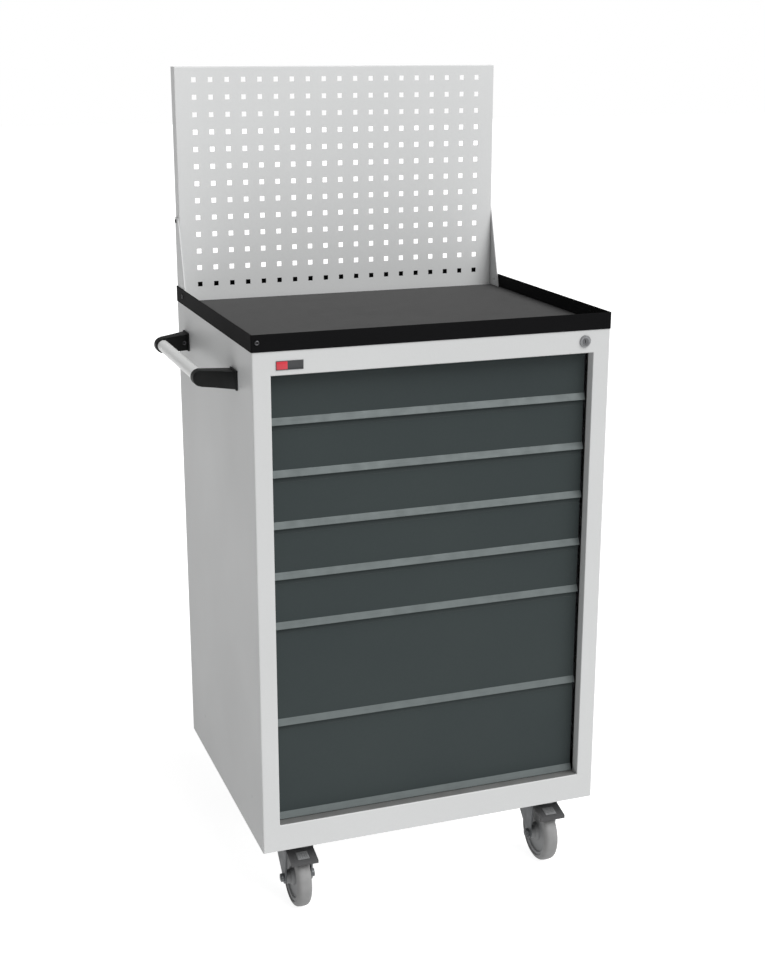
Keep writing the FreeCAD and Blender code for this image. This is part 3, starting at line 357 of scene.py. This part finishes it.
finishes["lock_steel"] = mix_finish(
    "zinc plated lock bar", drawn, depth=0.00002, metal=1.0, colour=card(186, 186, 182),
    dull_colour=card(150, 150, 146), roughness=0.38, squeeze=ALONG_Z)
finishes["screw_steel"] = mix_finish(
    "dark zinc screw", drawn, depth=0.00001, metal=1.0, colour=card(96, 96, 98),
    dull_colour=card(66, 66, 68), roughness=0.4, squeeze=COARSE_ALL_WAYS)
print("finishes so far:", len(finishes))

# %% [markdown]
# ### Plastics and rubber
#
# The handle's ends are black moulded plastic. The tyres are grey rubber that marks no floor,
# and the hubs are grey plastic. The badge is dark plastic with a red field.

# %% Mix the plastics and the rubber
finishes["bracket_plastic"] = mix_finish(
    "black handle plastic", grain, depth=0.00006, specular=0.2, colour=card(17, 18, 18),
    worn_colour=card(25, 26, 26), roughness=0.5, cell_size=1300.0)
finishes["pad_rubber"] = mix_finish(
    "grey pedal pad", grain, depth=0.00004, specular=0.3, colour=card(132, 133, 134),
    worn_colour=card(112, 113, 114), roughness=0.6, cell_size=1500.0)
finishes["tyre_grey"] = mix_finish(
    "grey tyre rubber", grain, depth=0.00005, colour=card(138, 138, 138),
    worn_colour=card(120, 120, 120), roughness=0.62, cell_size=1100.0)
finishes["badge_plastic"] = mix_finish(
    "dark badge plastic", grain, depth=0.00002, coat=0.4, colour=card(44, 46, 48),
    worn_colour=card(50, 52, 54), roughness=0.3, cell_size=2000.0)
finishes["hub_plastic"] = mix_finish(
    "grey hub plastic", grain, depth=0.00004, colour=card(140, 141, 142),
    worn_colour=card(124, 125, 126), roughness=0.5, cell_size=1500.0)
finishes["badge_red"] = mix_finish(
    "red badge enamel", grain, depth=0.00001, coat=0.4, colour=card(196, 44, 58),
    worn_colour=card(186, 40, 54), roughness=0.3, cell_size=2400.0)
print("finishes so far:", len(finishes))

# %% [markdown]
# The tray's mat is a softer, matt rubber. Its ribs are modelled further down, so its finish
# needs only the fine grain. A mid grey in the same rubber finish makes the strip that the
# lowest drawer closes over; that grey is painted shade on the light sill.

# %% Mix the mat's rubber and the strip's painted shade
finishes["mat_rubber"] = mix_finish(
    "matt mat rubber", grain, depth=0.00004, specular=0.15, colour=card(74, 74, 74),
    worn_colour=card(67, 67, 67), roughness=0.75, cell_size=900.0)
# the strip's mid grey is painted shade on the light sill
finishes["sill_shade_rubber"] = mix_finish(
    "sill painted shade rubber", grain, depth=0.00004, specular=0.2, colour=card(104, 105, 104),
    worn_colour=card(92, 93, 92), roughness=0.7, cell_size=900.0)
print("finishes in all:", len(finishes))

# %% [markdown]
# ## Dress the engineering pieces
#
# The record names one finish for every piece, so one loop dresses them all and none can be
# forgotten.

# %% Give every engineering piece its finish
for part in record["subparts"]:
    mesh = nodes[part["node"]].data
    mesh.materials.clear()
    mesh.materials.append(finishes[part["material_slot"]])
print("dressed:", len(record["subparts"]))


# %% [markdown]
# ## Tools for the new pieces
#
# Three helpers make most of the new pieces. One turns an outline about an axis, as a lathe
# does. One makes a slab with rounded edges. The third finishes a mesh: it merges doubles,
# points the faces outwards, shades it smoothly up to a crease angle, gives it a finish and
# lets it ride on its body.


# %% A helper that finishes a piece
SAME_POINT = 0.001 * MM


def finish_piece(bm, name, body, slot, look=None, crease=35.0):
    """Object at the origin from a bmesh, dressed and riding on its body."""
    bmesh.ops.remove_doubles(bm, verts=bm.verts, dist=SAME_POINT)
    bmesh.ops.recalc_face_normals(bm, faces=bm.faces)
    mesh = bpy.data.meshes.new(name)
    bm.to_mesh(mesh)
    bm.free()
    mesh.shade_smooth()
    mesh.set_sharp_from_angle(angle=math.radians(crease))
    mesh.materials.append(finishes[look or slot])
    piece = bpy.data.objects.new(name, mesh)
    bpy.context.scene.collection.objects.link(piece)
    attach(piece, body)
    return piece


# %% A helper that works like a lathe
def turn(bm, outline, centre, axis, steps=64, closed=False):
    """Spin an outline of (along, radius) pairs about an axis through a centre."""
    along = Vector(axis)
    side = Vector((0, 0, 1)) if abs(along.z) < 0.5 else Vector((1, 0, 0))
    verts = [bm.verts.new(Vector(centre) + along * a + side * r) for a, r in outline]
    pairs = list(zip(verts, verts[1:]))
    if closed:
        pairs.append((verts[-1], verts[0]))
    edges = [bm.edges.new(pair) for pair in pairs]
    bmesh.ops.spin(bm, geom=verts + edges, cent=centre, axis=along, angle=math.tau,
                   steps=steps, use_merge=True)


# %% A helper for rounded slabs
def slab(bm, low, high, radius, segments=3):
    """Block between two corners with all its edges rounded."""
    low = Vector(low)
    high = Vector(high)
    size = high - low
    place = Matrix.Translation((low + high) / 2) @ Matrix.Diagonal((*size, 1.0))
    made = bmesh.ops.create_cube(bm, size=1.0, matrix=place)["verts"]
    edges = list({edge for vert in made for edge in vert.link_edges})
    bmesh.ops.bevel(bm, geom=edges, offset=radius, offset_type="OFFSET", affect="EDGES",
                    segments=segments, profile=0.5, material=-1)


# %% [markdown]
# ## Castor wheels
#
# A castor's tyre is cast round its hub. Its tread is slightly crowned, its shoulders are
# round, and a shallow step shows where the tyre ends. The hub has a dished web, a raised boss
# and a thin bearing cover. All of this is round, so both are turned.
#
# Both outlines are pairs of numbers: how far along the axle, and how far out.

# %% Draw the outlines of a tyre and a hub
TYRE_THICK = 12.0 * MM
# along the axle, and out from the tread's top, in millimetres
TREAD = [(-15.6, -11.0), (-14.4, -6.0), (-12.4, -3.0), (-9.6, -1.0), (-5.0, -0.2), (0.0, 0.0)]
# along the axle, and out from the hub's rim
TYRE_FOOT = [(14.6, 2.2), (14.2, 1.0), (13.0, 0.0)]
# along the axle, and out from the axle's middle
HUB_FACE = [(13.0, 50.4), (13.0, 46.0), (12.4, 44.6), (9.0, 43.4), (8.2, 42.0), (8.2, 21.0),
            (9.0, 19.6), (12.6, 18.6), (15.8, 14.8), (24.0, 13.0), (25.4, 12.4), (25.7, 11.6),
            (25.7, 5.1)]


def mirrored(outline):
    """The outline's mirror image along the axle, drawn backwards."""
    return [(-along, out) for along, out in reversed(outline)]


def tyre_outline(radius):
    """Closed outline of a tyre's section."""
    rim = radius - TYRE_THICK
    half = [(along * MM, radius + out * MM) for along, out in TREAD]
    foot = [(along * MM, rim + out * MM) for along, out in TYRE_FOOT]
    return mirrored(foot) + half + mirrored(half[:-1]) + foot


def hub_outline(radius):
    """Closed outline of a hub's section, never past the tyre's inside."""
    rim = radius - TYRE_THICK
    face = [(along * MM, min(out * MM, rim)) for along, out in HUB_FACE]
    return mirrored(face) + face


print("points on half a tread:", len(TREAD), "and on a hub's face:", len(HUB_FACE))

# %% [markdown]
# The wheel's place and radius come from the engineering model's own box. At rest the front
# wheels turn about X and the rear ones about Y.


# %% Turn the tyres and hubs
def castor_wheel(corner, axle):
    """Tyre and hub of one castor, in place of its plain wheel."""
    wheel = corner + "_wheel"
    low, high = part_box(wheel)
    radius = (high.z - low.z) / 2
    for part, outline, look, crease in (("_tyre", tyre_outline(radius), "tyre_grey", 50.0),
                                        ("_hub", hub_outline(radius), "hub_plastic", 35.0)):
        bm = bmesh.new()
        turn(bm, outline, (low + high) / 2, axle, steps=96, closed=True)
        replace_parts(finish_piece(bm, corner + part, wheel, "tyre_grey", look, crease), wheel)
    print(corner, "wheel's radius:", in_mm(radius))


for corner, axle in (("front_left", (1, 0, 0)), ("front_right", (1, 0, 0)),
                     ("rear_left", (0, 1, 0)), ("rear_right", (0, 1, 0))):
    castor_wheel(corner, axle)

# %% [markdown]
# ## The push handle
#
# Each end of the handle is one moulding: a flat foot, an arm that leans towards the middle of
# the handle, and a round nose that takes the tube. Seen from the front its outline is a wedge
# with a round end. That outline is drawn as a face, pulled to the foot's width, leant over,
# and rounded along its edges.
#
# The outline's round end is spun from one point, which keeps it an exact arc.

# %% Measure the handle
bracket_low, bracket_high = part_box("handle_brackets")
tube_low, tube_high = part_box("handle_tube")
NOSE_R = 15.5 * MM
WALL_X = bracket_high.x
NOSE_X = bracket_low.x + NOSE_R
HANDLE_Z = (bracket_low.z + bracket_high.z) / 2
MIDDLE_Y = (bracket_low.y + bracket_high.y) / 2
FOOT_WIDE = 47.0 * MM
NOSE_WIDE = 24.5 * MM
TUBE_IN_NOSE = 12.0 * MM
FOOT_Y = (bracket_low.y, bracket_low.y + FOOT_WIDE)
NOSE_Y = (tube_low.y + TUBE_IN_NOSE - NOSE_WIDE, tube_low.y + TUBE_IN_NOSE)
print("handle reaches out by", in_mm(WALL_X - bracket_low.x))

# %% Draw the arm's outline
ROOT_HALF = 17.0 * MM
ROOT_IN_FOOT = 3.4 * MM
ROOT_X = WALL_X - ROOT_IN_FOOT
LEAN = math.atan2(ROOT_HALF - NOSE_R, ROOT_X - NOSE_X)


def arm_outline(bm):
    """Flat face with the outline of a wedge with a round end."""
    top = bm.verts.new((NOSE_X - NOSE_R * math.sin(LEAN), 0.0,
                        HANDLE_Z + NOSE_R * math.cos(LEAN)))
    swept = bmesh.ops.spin(bm, geom=[top], cent=(NOSE_X, 0.0, HANDLE_Z), axis=(0, -1, 0),
                           angle=math.pi - 2 * LEAN, steps=18)
    bottom = next(item for item in swept["geom_last"] if isinstance(item, bmesh.types.BMVert))
    root_low = bm.verts.new((ROOT_X, 0.0, HANDLE_Z - ROOT_HALF))
    root_high = bm.verts.new((ROOT_X, 0.0, HANDLE_Z + ROOT_HALF))
    for pair in ((bottom, root_low), (root_low, root_high), (root_high, top)):
        bm.edges.new(pair)
    return bmesh.ops.contextual_create(bm, geom=bm.edges)["faces"]


print(f"the wedge opens by {math.degrees(LEAN):.2f} degrees on each side")

# %% Pull the outline to a leaning arm
ROOT_EDGE = 2.0 * MM
ARM_ROUND = 2.6 * MM
SHARP = math.radians(40.0)


def leaning_arm(bm):
    """Arm that is wide at its foot and moves over towards its nose, with rounded edges."""
    pulled = bmesh.ops.extrude_face_region(bm, geom=arm_outline(bm))["geom"]
    far = {item for item in pulled if isinstance(item, bmesh.types.BMVert)}
    for vert in bm.verts:
        share = min(max((ROOT_X - vert.co.x) / (ROOT_X - NOSE_X), 0.0), 1.0)
        foot_y = FOOT_Y[1] - ROOT_EDGE if vert in far else FOOT_Y[0] + ROOT_EDGE
        nose_y = NOSE_Y[1] if vert in far else NOSE_Y[0]
        vert.co.y = foot_y + (nose_y - foot_y) * share
    bmesh.ops.recalc_face_normals(bm, faces=bm.faces)
    rims = [edge for edge in bm.edges if edge.calc_face_angle(0.0) > SHARP]
    bmesh.ops.bevel(bm, geom=rims, offset=ARM_ROUND, offset_type="OFFSET", affect="EDGES",
                    segments=4, profile=0.5, material=-1)


# %% Model the handle's ends
FOOT_THICK = 4.0 * MM
FOOT_HALF = 19.0 * MM


def handle_end(name, at_rear):
    """Moulded bracket; the rear one is the mirror image of the front one."""
    bm = bmesh.new()
    leaning_arm(bm)
    slab(bm, (WALL_X - FOOT_THICK, FOOT_Y[0], HANDLE_Z - FOOT_HALF),
         (WALL_X, FOOT_Y[1], HANDLE_Z + FOOT_HALF), radius=1.6 * MM)
    if at_rear:
        mirror = Matrix.Translation((0, 2 * MIDDLE_Y, 0)) @ Matrix.Diagonal((1, -1, 1, 1))
        bmesh.ops.transform(bm, matrix=mirror, verts=bm.verts)
    return finish_piece(bm, name, "root", "bracket_plastic", crease=48.0)


for name, at_rear in (("handle_end_front", False), ("handle_end_rear", True)):
    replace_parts(handle_end(name, at_rear), "handle_brackets")
print("handle ends: 2, each", in_mm(FOOT_WIDE), "wide at its foot")

# %% [markdown]
# The tube is drawn steel, painted a lighter grey than the body. Its ends sit in the noses,
# and a soft chamfer leads each end in.

# %% Turn the tube
INSIDE = 10.5 * MM
END_RING = 11.3 * MM
OUTSIDE = 12.0 * MM
INNER_CHAMFER = 0.8 * MM
OUTER_CHAMFER = 0.6 * MM
bm = bmesh.new()
length = tube_high.y - tube_low.y
shell = [(INNER_CHAMFER, INSIDE), (0.0, END_RING), (OUTER_CHAMFER, OUTSIDE),
         (length - OUTER_CHAMFER, OUTSIDE), (length, END_RING), (length - INNER_CHAMFER, INSIDE)]
turn(bm, shell, Vector((NOSE_X, tube_low.y, HANDLE_Z)), (0, 1, 0), steps=64, closed=True)
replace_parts(finish_piece(bm, "push_tube", "root", "tube_paint"), "handle_tube")
print("tube's length:", in_mm(length))

# %% [markdown]
# ## Screws and rivets
#
# The tray, the gussets and the handle are held by domed screws with a six-lobed socket. The
# head, its socket and a short stub of shank are turned. Then the points round the socket move
# in and out six times, which makes the lobes. The body's rivets are low domes, painted with
# the body. Both outlines start and end on the axis, so every head is closed.


# %% Model a screw and a rivet
# along the axis from the sheet's face, and out from the axis, in millimetres
SCREW_OUTLINE = [(-1.6, 0.0), (-1.6, 1.9), (0.9, 2.1), (1.9, 2.6), (2.15, 3.2), (1.7, 4.1),
                 (0.9, 4.5), (-0.2, 4.5), (-0.2, 2.9), (-2.2, 2.9), (-2.2, 0.0)]
RIVET_OUTLINE = [(0.95, 0.0), (0.85, 1.4), (0.5, 2.6), (0.0, 3.2), (-0.2, 3.2), (-0.2, 0.0)]
SOCKET_POINTS = (1.5 * MM, 2.3 * MM)
LOBES = 6
LOBE_DEPTH = 0.18


def turned_head(bm, outline, face, outward, steps):
    """Head from an outline in millimetres, on a face point and looking outwards."""
    turn(bm, [(along * MM, out * MM) for along, out in outline], face, outward, steps=steps)


def screw_head(bm, face, outward):
    """Domed screw head with a lobed socket."""
    before = set(bm.verts)
    turned_head(bm, SCREW_OUTLINE, face, outward, steps=24)
    along = Vector(outward)
    for vert in set(bm.verts) - before:
        offset = vert.co - Vector(face)
        depth = offset.dot(along)
        radial = offset - along * depth
        if SOCKET_POINTS[0] < radial.length < SOCKET_POINTS[1]:
            angle = math.atan2(radial.dot(along.orthogonal()),
                               radial.dot(along.cross(along.orthogonal())))
            lobe = 1.0 - LOBE_DEPTH + LOBE_DEPTH * math.cos(LOBES * angle)
            vert.co = Vector(face) + along * depth + radial * lobe


print("points in the outlines:", len(SCREW_OUTLINE), "and", len(RIVET_OUTLINE))

# %% [markdown]
# The screws' places are measured from the tray, the gussets and the handle, so that they stay
# with those pieces.

# %% Place the screws
tray_low, tray_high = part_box("top_tray")
brace_low, brace_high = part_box("panel_gussets")
frame_low, frame_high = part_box("front_frame")
panel_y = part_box("perforated_panel")[0].y
CORNER_INSET = 10 * MM
RIM_RISE = 17.6 * MM
BRACE_INSET = 23.0 * MM
BRACE_CORNER = 8 * MM
ARM_INSET = 11.5 * MM
ARM_CLEAR = 0.4 * MM
rim_z = tray_low.z + RIM_RISE
bm = bmesh.new()
screw_head(bm, (frame_low.x + CORNER_INSET, tray_low.y, rim_z), (0, -1, 0))
screw_head(bm, (frame_high.x - CORNER_INSET, tray_high.y, rim_z), (0, 1, 0))
for x, outward in ((tray_low.x, (-1, 0, 0)), (tray_high.x, (1, 0, 0))):
    screw_head(bm, (x, panel_y - BRACE_INSET, rim_z), outward)
for x, outward in ((brace_low.x, (-1, 0, 0)), (brace_high.x, (1, 0, 0))):
    screw_head(bm, (x, brace_high.y - BRACE_CORNER, brace_high.z - BRACE_CORNER), outward)
for y, outward in ((FOOT_Y[1] + ARM_CLEAR, (0, 1, 0)),
                   (2 * MIDDLE_Y - FOOT_Y[1] - ARM_CLEAR, (0, -1, 0))):
    screw_head(bm, (WALL_X - ARM_INSET, y, HANDLE_Z), outward)
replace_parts(finish_piece(bm, "screws", "root", "screw_steel"), "fasteners")
print("screws stand", in_mm(RIM_RISE), "above the tray's lower edge")

# %% Place the rivets
SIDE_RIVETS_BACK = (80.0 * MM, 480.0 * MM)
SIDE_RIVETS_UP = 86 * MM
SIDE_RIVETS_DOWN = 80 * MM
BACK_RIVET_INSET = 14 * MM
BACK_RIVET_ROWS = 5
FIRST_ROW = 0.06
ROW_STEP = 0.22
bm = bmesh.new()
places = []
for back in SIDE_RIVETS_BACK:
    for z in (frame_low.z + SIDE_RIVETS_UP, frame_high.z - SIDE_RIVETS_DOWN):
        places.append(((frame_low.x, frame_low.y + back, z), (-1, 0, 0)))
        places.append(((frame_high.x, frame_low.y + back, z), (1, 0, 0)))
back_low, back_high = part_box("back_panel")
for x in (back_low.x + BACK_RIVET_INSET, back_high.x - BACK_RIVET_INSET):
    for row in range(BACK_RIVET_ROWS):
        z = back_low.z + (FIRST_ROW + ROW_STEP * row) * (back_high.z - back_low.z)
        places.append(((x, back_high.y, z), (0, 1, 0)))
for face, outward in places:
    turned_head(bm, RIVET_OUTLINE, face, outward, steps=20)
rivets = finish_piece(bm, "painted_rivets", "root", "screw_steel", look="body_paint")
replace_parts(rivets, "fasteners")
print("rivets:", len(places))

# %% [markdown]
# ## The lock and the badge
#
# The lock's bezel is a turned ring with a sloping face. The plug inside it, with its key
# slot, comes from the engineering model. The badge is a small plain plate: a rounded slab
# whose middle is set in, so that a thin rim stands round it.

# %% Turn the lock's bezel
lock_low, lock_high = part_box("lock_plug")
lock_axis = Vector(((lock_low.x + lock_high.x) / 2, frame_low.y, (lock_low.z + lock_high.z) / 2))
# out from the frame's face, and out from the lock's axis, in millimetres
BEZEL = [(-21.9, 6.6), (-21.9, 9.4), (0.0, 9.4), (0.0, 11.5), (1.9, 11.5), (2.6, 11.1),
         (2.95, 10.2), (2.6, 8.6), (2.3, 7.4), (2.2, 6.6)]
bm = bmesh.new()
turn(bm, [(a * MM, r * MM) for a, r in BEZEL], lock_axis, (0, -1, 0), steps=72, closed=True)
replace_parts(finish_piece(bm, "lock_bezel", "root", "lock_chrome", look="bezel_satin"),
            "lock_housing")
print("lock's height above the floor:", in_mm(lock_axis.z))

# %% Model the badge
BADGE_RIM = 1.0 * MM
BADGE_SUNK = 0.25 * MM
SMALLEST_FRONT = 100 * MM * MM
FACING_FORWARD = -0.99
badge_low, badge_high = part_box("badge_plate")
bm = bmesh.new()
slab(bm, badge_low, badge_high, radius=0.5 * MM)
bmesh.ops.recalc_face_normals(bm, faces=bm.faces)
front = [face for face in bm.faces
         if face.normal.y < FACING_FORWARD and face.calc_area() > SMALLEST_FRONT]
bmesh.ops.inset_region(bm, faces=front, thickness=BADGE_RIM, depth=-BADGE_SUNK)
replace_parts(finish_piece(bm, "plain_badge", "root", "badge_plastic"), "badge_plate")
print("badge's width:", in_mm(badge_high.x - badge_low.x))

# %% [markdown]
# A red inlay covers the left part of the badge. It stands for the mark that such a badge
# carries, with no lettering.

# %% Set the inlay in
INLAY_INSET = 1.2 * MM
INLAY_THICK = 0.6 * MM
INLAY_SHARE = 0.42
inlay_end = badge_low.x + INLAY_SHARE * (badge_high.x - badge_low.x)
bm = bmesh.new()
slab(bm, (badge_low.x + INLAY_INSET, badge_low.y, badge_low.z + INLAY_INSET),
     (inlay_end, badge_low.y + INLAY_THICK, badge_high.z - INLAY_INSET),
     radius=0.2 * MM, segments=2)
finish_piece(bm, "badge_inlay", "root", "badge_plastic", look="badge_red")
print("inlay's width:", in_mm(inlay_end - badge_low.x - INLAY_INSET))

# %% [markdown]
# ## The ribbed mat
#
# The mat has fine ribs across the tray, so that sockets don't roll. A grid with four rows of
# points to each rib gives them: the rows rise and fall by a cosine. A bump in the finish would
# be cheaper, but the ribs would be missing from the mesh. The rear corners step in round the
# gussets, as the engineering piece does.

# %% Model the mat
RIB_PITCH = 3.0 * MM
RIB_HEIGHT = 0.4 * MM
ROWS_TO_A_RIB = 4
BRACE_GAP = 0.5 * MM
BRACE_STEP = 2.5 * MM
mat_low, mat_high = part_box("tray_mat")
mat_wide = mat_high.x - mat_low.x
mat_deep = mat_high.y - mat_low.y
ribs = int(mat_deep / RIB_PITCH)
bm = bmesh.new()
middle = (mat_low + mat_high) / 2
bmesh.ops.create_grid(bm, x_segments=1, y_segments=ROWS_TO_A_RIB * ribs, size=0.5,
                      matrix=Matrix.Translation((middle.x, middle.y, mat_high.z))
                      @ Matrix.Diagonal((mat_wide, mat_deep, 1.0, 1.0)))
for vert in bm.verts:
    along = (vert.co.y - mat_low.y) / mat_deep * ribs
    vert.co.z -= RIB_HEIGHT * (0.5 + 0.5 * math.cos(math.tau * along))
    if vert.co.y > brace_low.y - BRACE_GAP:
        vert.co.x += math.copysign(BRACE_STEP, middle.x - vert.co.x)
rim = [edge for edge in bm.edges if edge.is_boundary]
walls = bmesh.ops.extrude_edge_only(bm, edges=rim)["geom"]
for vert in (item for item in walls if isinstance(item, bmesh.types.BMVert)):
    vert.co.z = mat_low.z
under_rim = [item for item in walls if isinstance(item, bmesh.types.BMEdge) and item.is_boundary]
bmesh.ops.contextual_create(bm, geom=under_rim)
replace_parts(finish_piece(bm, "ribbed_mat", "root", "mat_rubber"), "tray_mat")
print("ribs on the mat:", ribs)

# %% [markdown]
# ## Pedal pads
#
# A foot presses on a ribbed pad in the middle of each brake pedal. The pad is a rounded slab
# with five rounded ribs. It is made flat, then tilted with the pedal's plate and moved onto
# it, so it rides with the pedal.

# %% Model the pads
PAD_LONG = 21.0 * MM
PAD_HALF = 12.0 * MM
PAD_THICK = 1.3 * MM
PAD_RIBS = 5
PAD_RIB_STEP = 4.6 * MM
PAD_RIB_HALF = 1.2 * MM
PAD_RIB_INSET = 1.6 * MM
PAD_RIB_SUNK = 0.5 * MM
PAD_RIB_PROUD = 0.8 * MM
PAD_BACK = 7.6 * MM
PAD_DOWN = 10.3 * MM
PEDAL_SLOPE = math.atan2(10.0, 37.5)    # the plate rises 10 mm over 37.5 mm


def flat_pad(bm):
    """Pad with its ribs, lying flat with its front edge at the origin."""
    slab(bm, (-PAD_HALF, 0, 0), (PAD_HALF, PAD_LONG, PAD_THICK), radius=0.5 * MM)
    for rib in range(PAD_RIBS):
        rib_x = (rib - PAD_RIBS // 2) * PAD_RIB_STEP
        slab(bm, (rib_x - PAD_RIB_HALF, PAD_RIB_INSET, PAD_THICK - PAD_RIB_SUNK),
             (rib_x + PAD_RIB_HALF, PAD_LONG - PAD_RIB_INSET, PAD_THICK + PAD_RIB_PROUD),
             radius=0.4 * MM, segments=2)


for corner in ("front_left", "front_right"):
    pedal = corner + "_pedal"
    pedal_low, pedal_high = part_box(pedal)
    tip = Vector(((pedal_low.x + pedal_high.x) / 2, pedal_low.y + PAD_BACK,
                  pedal_high.z - PAD_DOWN))
    bm = bmesh.new()
    flat_pad(bm)
    place = Matrix.Translation(tip) @ Matrix.Rotation(PEDAL_SLOPE, 4, "X")
    bmesh.ops.transform(bm, matrix=place, verts=bm.verts)
    finish_piece(bm, corner + "_pad", pedal, "pedal_dark", look="pad_rubber")
    print(corner, "pad starts at", in_mm(tip.z), "above the floor")

# %% [markdown]
# ## The fronts' top lips
#
# Fingertips catch a grip by its lower edge, which stands forward of the front below. Behind
# that edge is a slot. A narrow lip on top of each drawer front closes most of it, so that
# little dust gets in. The lip is painted like the front, stands a little behind its face, and
# keeps clear of the grip above, past which it slides.

# %% Make the lips
DRAWERS = 7
LIP_BACK = 0.4 * MM
LIP_THICK = 1.7 * MM
LIP_ROOT = 2.5 * MM
LIP_INSET = 0.6 * MM
LIP_CLEAR = 1.5 * MM
HEADER_SLOT = 7.0 * MM
for number in range(1, DRAWERS + 1):
    front_low, front_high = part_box(f"drawer_{number}_front")
    ceiling = front_high.z + HEADER_SLOT
    if number > 1:
        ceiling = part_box(f"drawer_{number - 1}_grip")[0].z
    lip_y = front_low.y + LIP_BACK
    bm = bmesh.new()
    slab(bm, (front_low.x + LIP_INSET, lip_y, front_high.z - LIP_ROOT),
         (front_high.x - LIP_INSET, lip_y + LIP_THICK, ceiling - LIP_CLEAR), radius=0.5 * MM)
    finish_piece(bm, f"drawer_{number}_top_lip", f"drawer_{number}", "front_paint")
    print("lip", number, "stands up by", in_mm(ceiling - LIP_CLEAR - front_high.z))

# %% [markdown]
# ## The sill's rubber strip
#
# The lowest drawer closes over a thin mid-grey strip: painted shade on the light sill. It
# lies on the sill's fold, between the frame's two side folds, and doesn't reach up to the drawer.

# %% Lay the strip
SILL = 55.0 * MM
STRIP_PAST_GRIP = 2.0 * MM
STRIP_DEEP = (2.4 * MM, 21.0 * MM)
STRIP_THICK = 1.6 * MM
grip_low, grip_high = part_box(f"drawer_{DRAWERS}_grip")
sill_z = frame_low.z + SILL
bm = bmesh.new()
slab(bm, (grip_low.x - STRIP_PAST_GRIP, frame_low.y + STRIP_DEEP[0], sill_z),
     (grip_high.x + STRIP_PAST_GRIP, frame_low.y + STRIP_DEEP[1], sill_z + STRIP_THICK),
     radius=0.6 * MM)
# the strip's mid grey stands for the shade under the lowest drawer: painted shade
finish_piece(bm, "sill_shade_strip", "root", "mat_rubber", look="sill_shade_rubber")
print("strip to grip:", in_mm(grip_low.z - sill_z - STRIP_THICK))

# %% [markdown]
# ## Floor, light and camera
#
# The chest stands on a plain pale floor that glows a little, as a lit studio table does. One
# very wide sun high at the front right lights the front, the panel and the floor. Its width
# keeps the shadows soft. The pale world lights everything evenly, and on its own it lights
# the left side, which stays a shade darker.
#
# The camera sees the floor and the world brighter than the chest does. So the backdrop is
# white and the shadow under the chest stays faint, and the chest's own shades don't change.


# %% A helper for a strength that the camera sees differently
def strength_by_ray(tree, for_light, for_camera):
    """One strength for light that falls on the chest, another for what the camera sees."""
    seen = node(tree, "LightPath").outputs["Is Camera Ray"]
    return spread(tree, seen, low=for_light, high=for_camera, start=0.0, end=1.0)


# %% Lay the floor
WHITE = (1.0, 1.0, 1.0, 1.0)
FLOOR_HALF = 30.0
FLOOR_GLOW = 0.5
FLOOR_GLOW_SEEN = 0.85
bm = bmesh.new()
bmesh.ops.create_grid(bm, x_segments=1, y_segments=1, size=FLOOR_HALF)
floor_mesh = bpy.data.meshes.new("studio_floor")
bm.to_mesh(floor_mesh)
bm.free()
floor_mesh.materials.append(mix_finish(
    "pale studio floor", powder, depth=0.00001, specular=0.1, colour=card(180, 180, 180),
    thin_colour=card(178, 178, 178), roughness=0.9, peel_size=40.0))
floor_tree = floor_mesh.materials[0].node_tree
floor_shader = floor_tree.nodes["Principled BSDF"]
floor_shader.inputs["Emission Color"].default_value = WHITE
floor_tree.links.new(strength_by_ray(floor_tree, FLOOR_GLOW, FLOOR_GLOW_SEEN),
                     floor_shader.inputs["Emission Strength"])
floor = bpy.data.objects.new("studio_floor", floor_mesh)
bpy.context.scene.collection.objects.link(floor)
floor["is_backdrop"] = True
print("floor:", 2 * FLOOR_HALF, "m across")

# %% Hang the sun
SUN_STRENGTH = 3.3
SUN_WIDTH = math.radians(50.0)
SUN_FROM_ABOVE = math.radians(40.0)
SUN_TO_RIGHT = math.radians(38.0)
sun = bpy.data.lights.new("wide soft key", "SUN")
sun.energy = SUN_STRENGTH
sun.angle = SUN_WIDTH
key = bpy.data.objects.new("wide soft key", sun)
key.rotation_euler = (SUN_FROM_ABOVE, 0.0, SUN_TO_RIGHT)
bpy.context.scene.collection.objects.link(key)
shines = key.rotation_euler.to_matrix() @ Vector((0, 0, -1))
print("the sun shines along", [round(share, 2) for share in shines])

# %% Light the world
WORLD_LIGHT = 0.3
WORLD_SEEN = 1.0
world = bpy.data.worlds.new("pale studio")
world.use_nodes = True
backdrop = world.node_tree.nodes["Background"]
backdrop.inputs["Color"].default_value = WHITE
world.node_tree.links.new(strength_by_ray(world.node_tree, WORLD_LIGHT, WORLD_SEEN),
                          backdrop.inputs["Strength"])
bpy.context.scene.world = world
bpy.context.scene.view_settings.view_transform = "Standard"
print("world:", WORLD_LIGHT, "for light,", WORLD_SEEN, "for the camera")

# %% Set up the camera
CAMERA_PLACE = (-1.0048, -2.8990, 1.6923)
CAMERA_LENS = 56.54
SENSOR_WIDTH = 36.0
LOOK_DOWN = math.radians(16.216)
LOOK_RIGHT = math.radians(19.733)
SEE_AS_FAR_AS = 100.0
camera_data = bpy.data.cameras.new("studio camera")
camera_data.lens = CAMERA_LENS
camera_data.sensor_width = SENSOR_WIDTH
camera_data.clip_end = SEE_AS_FAR_AS
camera = bpy.data.objects.new("studio camera", camera_data)
camera.location = CAMERA_PLACE
camera.rotation_euler = (math.pi / 2 - LOOK_DOWN, 0.0, -LOOK_RIGHT)
bpy.context.scene.collection.objects.link(camera)
bpy.context.scene.camera = camera
print("camera's distance from the middle of the floor:", round(camera.location.length, 2), "m")

# %% [markdown]
# ## Check the size and finish
#
# The box of the engineering model and the box of the finished chest are written side by
# side, so that they can be compared.

# %% Print the two boxes
bpy.context.view_layer.update()
shown_box = [list(corner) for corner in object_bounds()]
for label, found in (("engineering", cad_box), ("finished", shown_box)):
    print(label, [round(v, 4) for corner in found for v in corner])
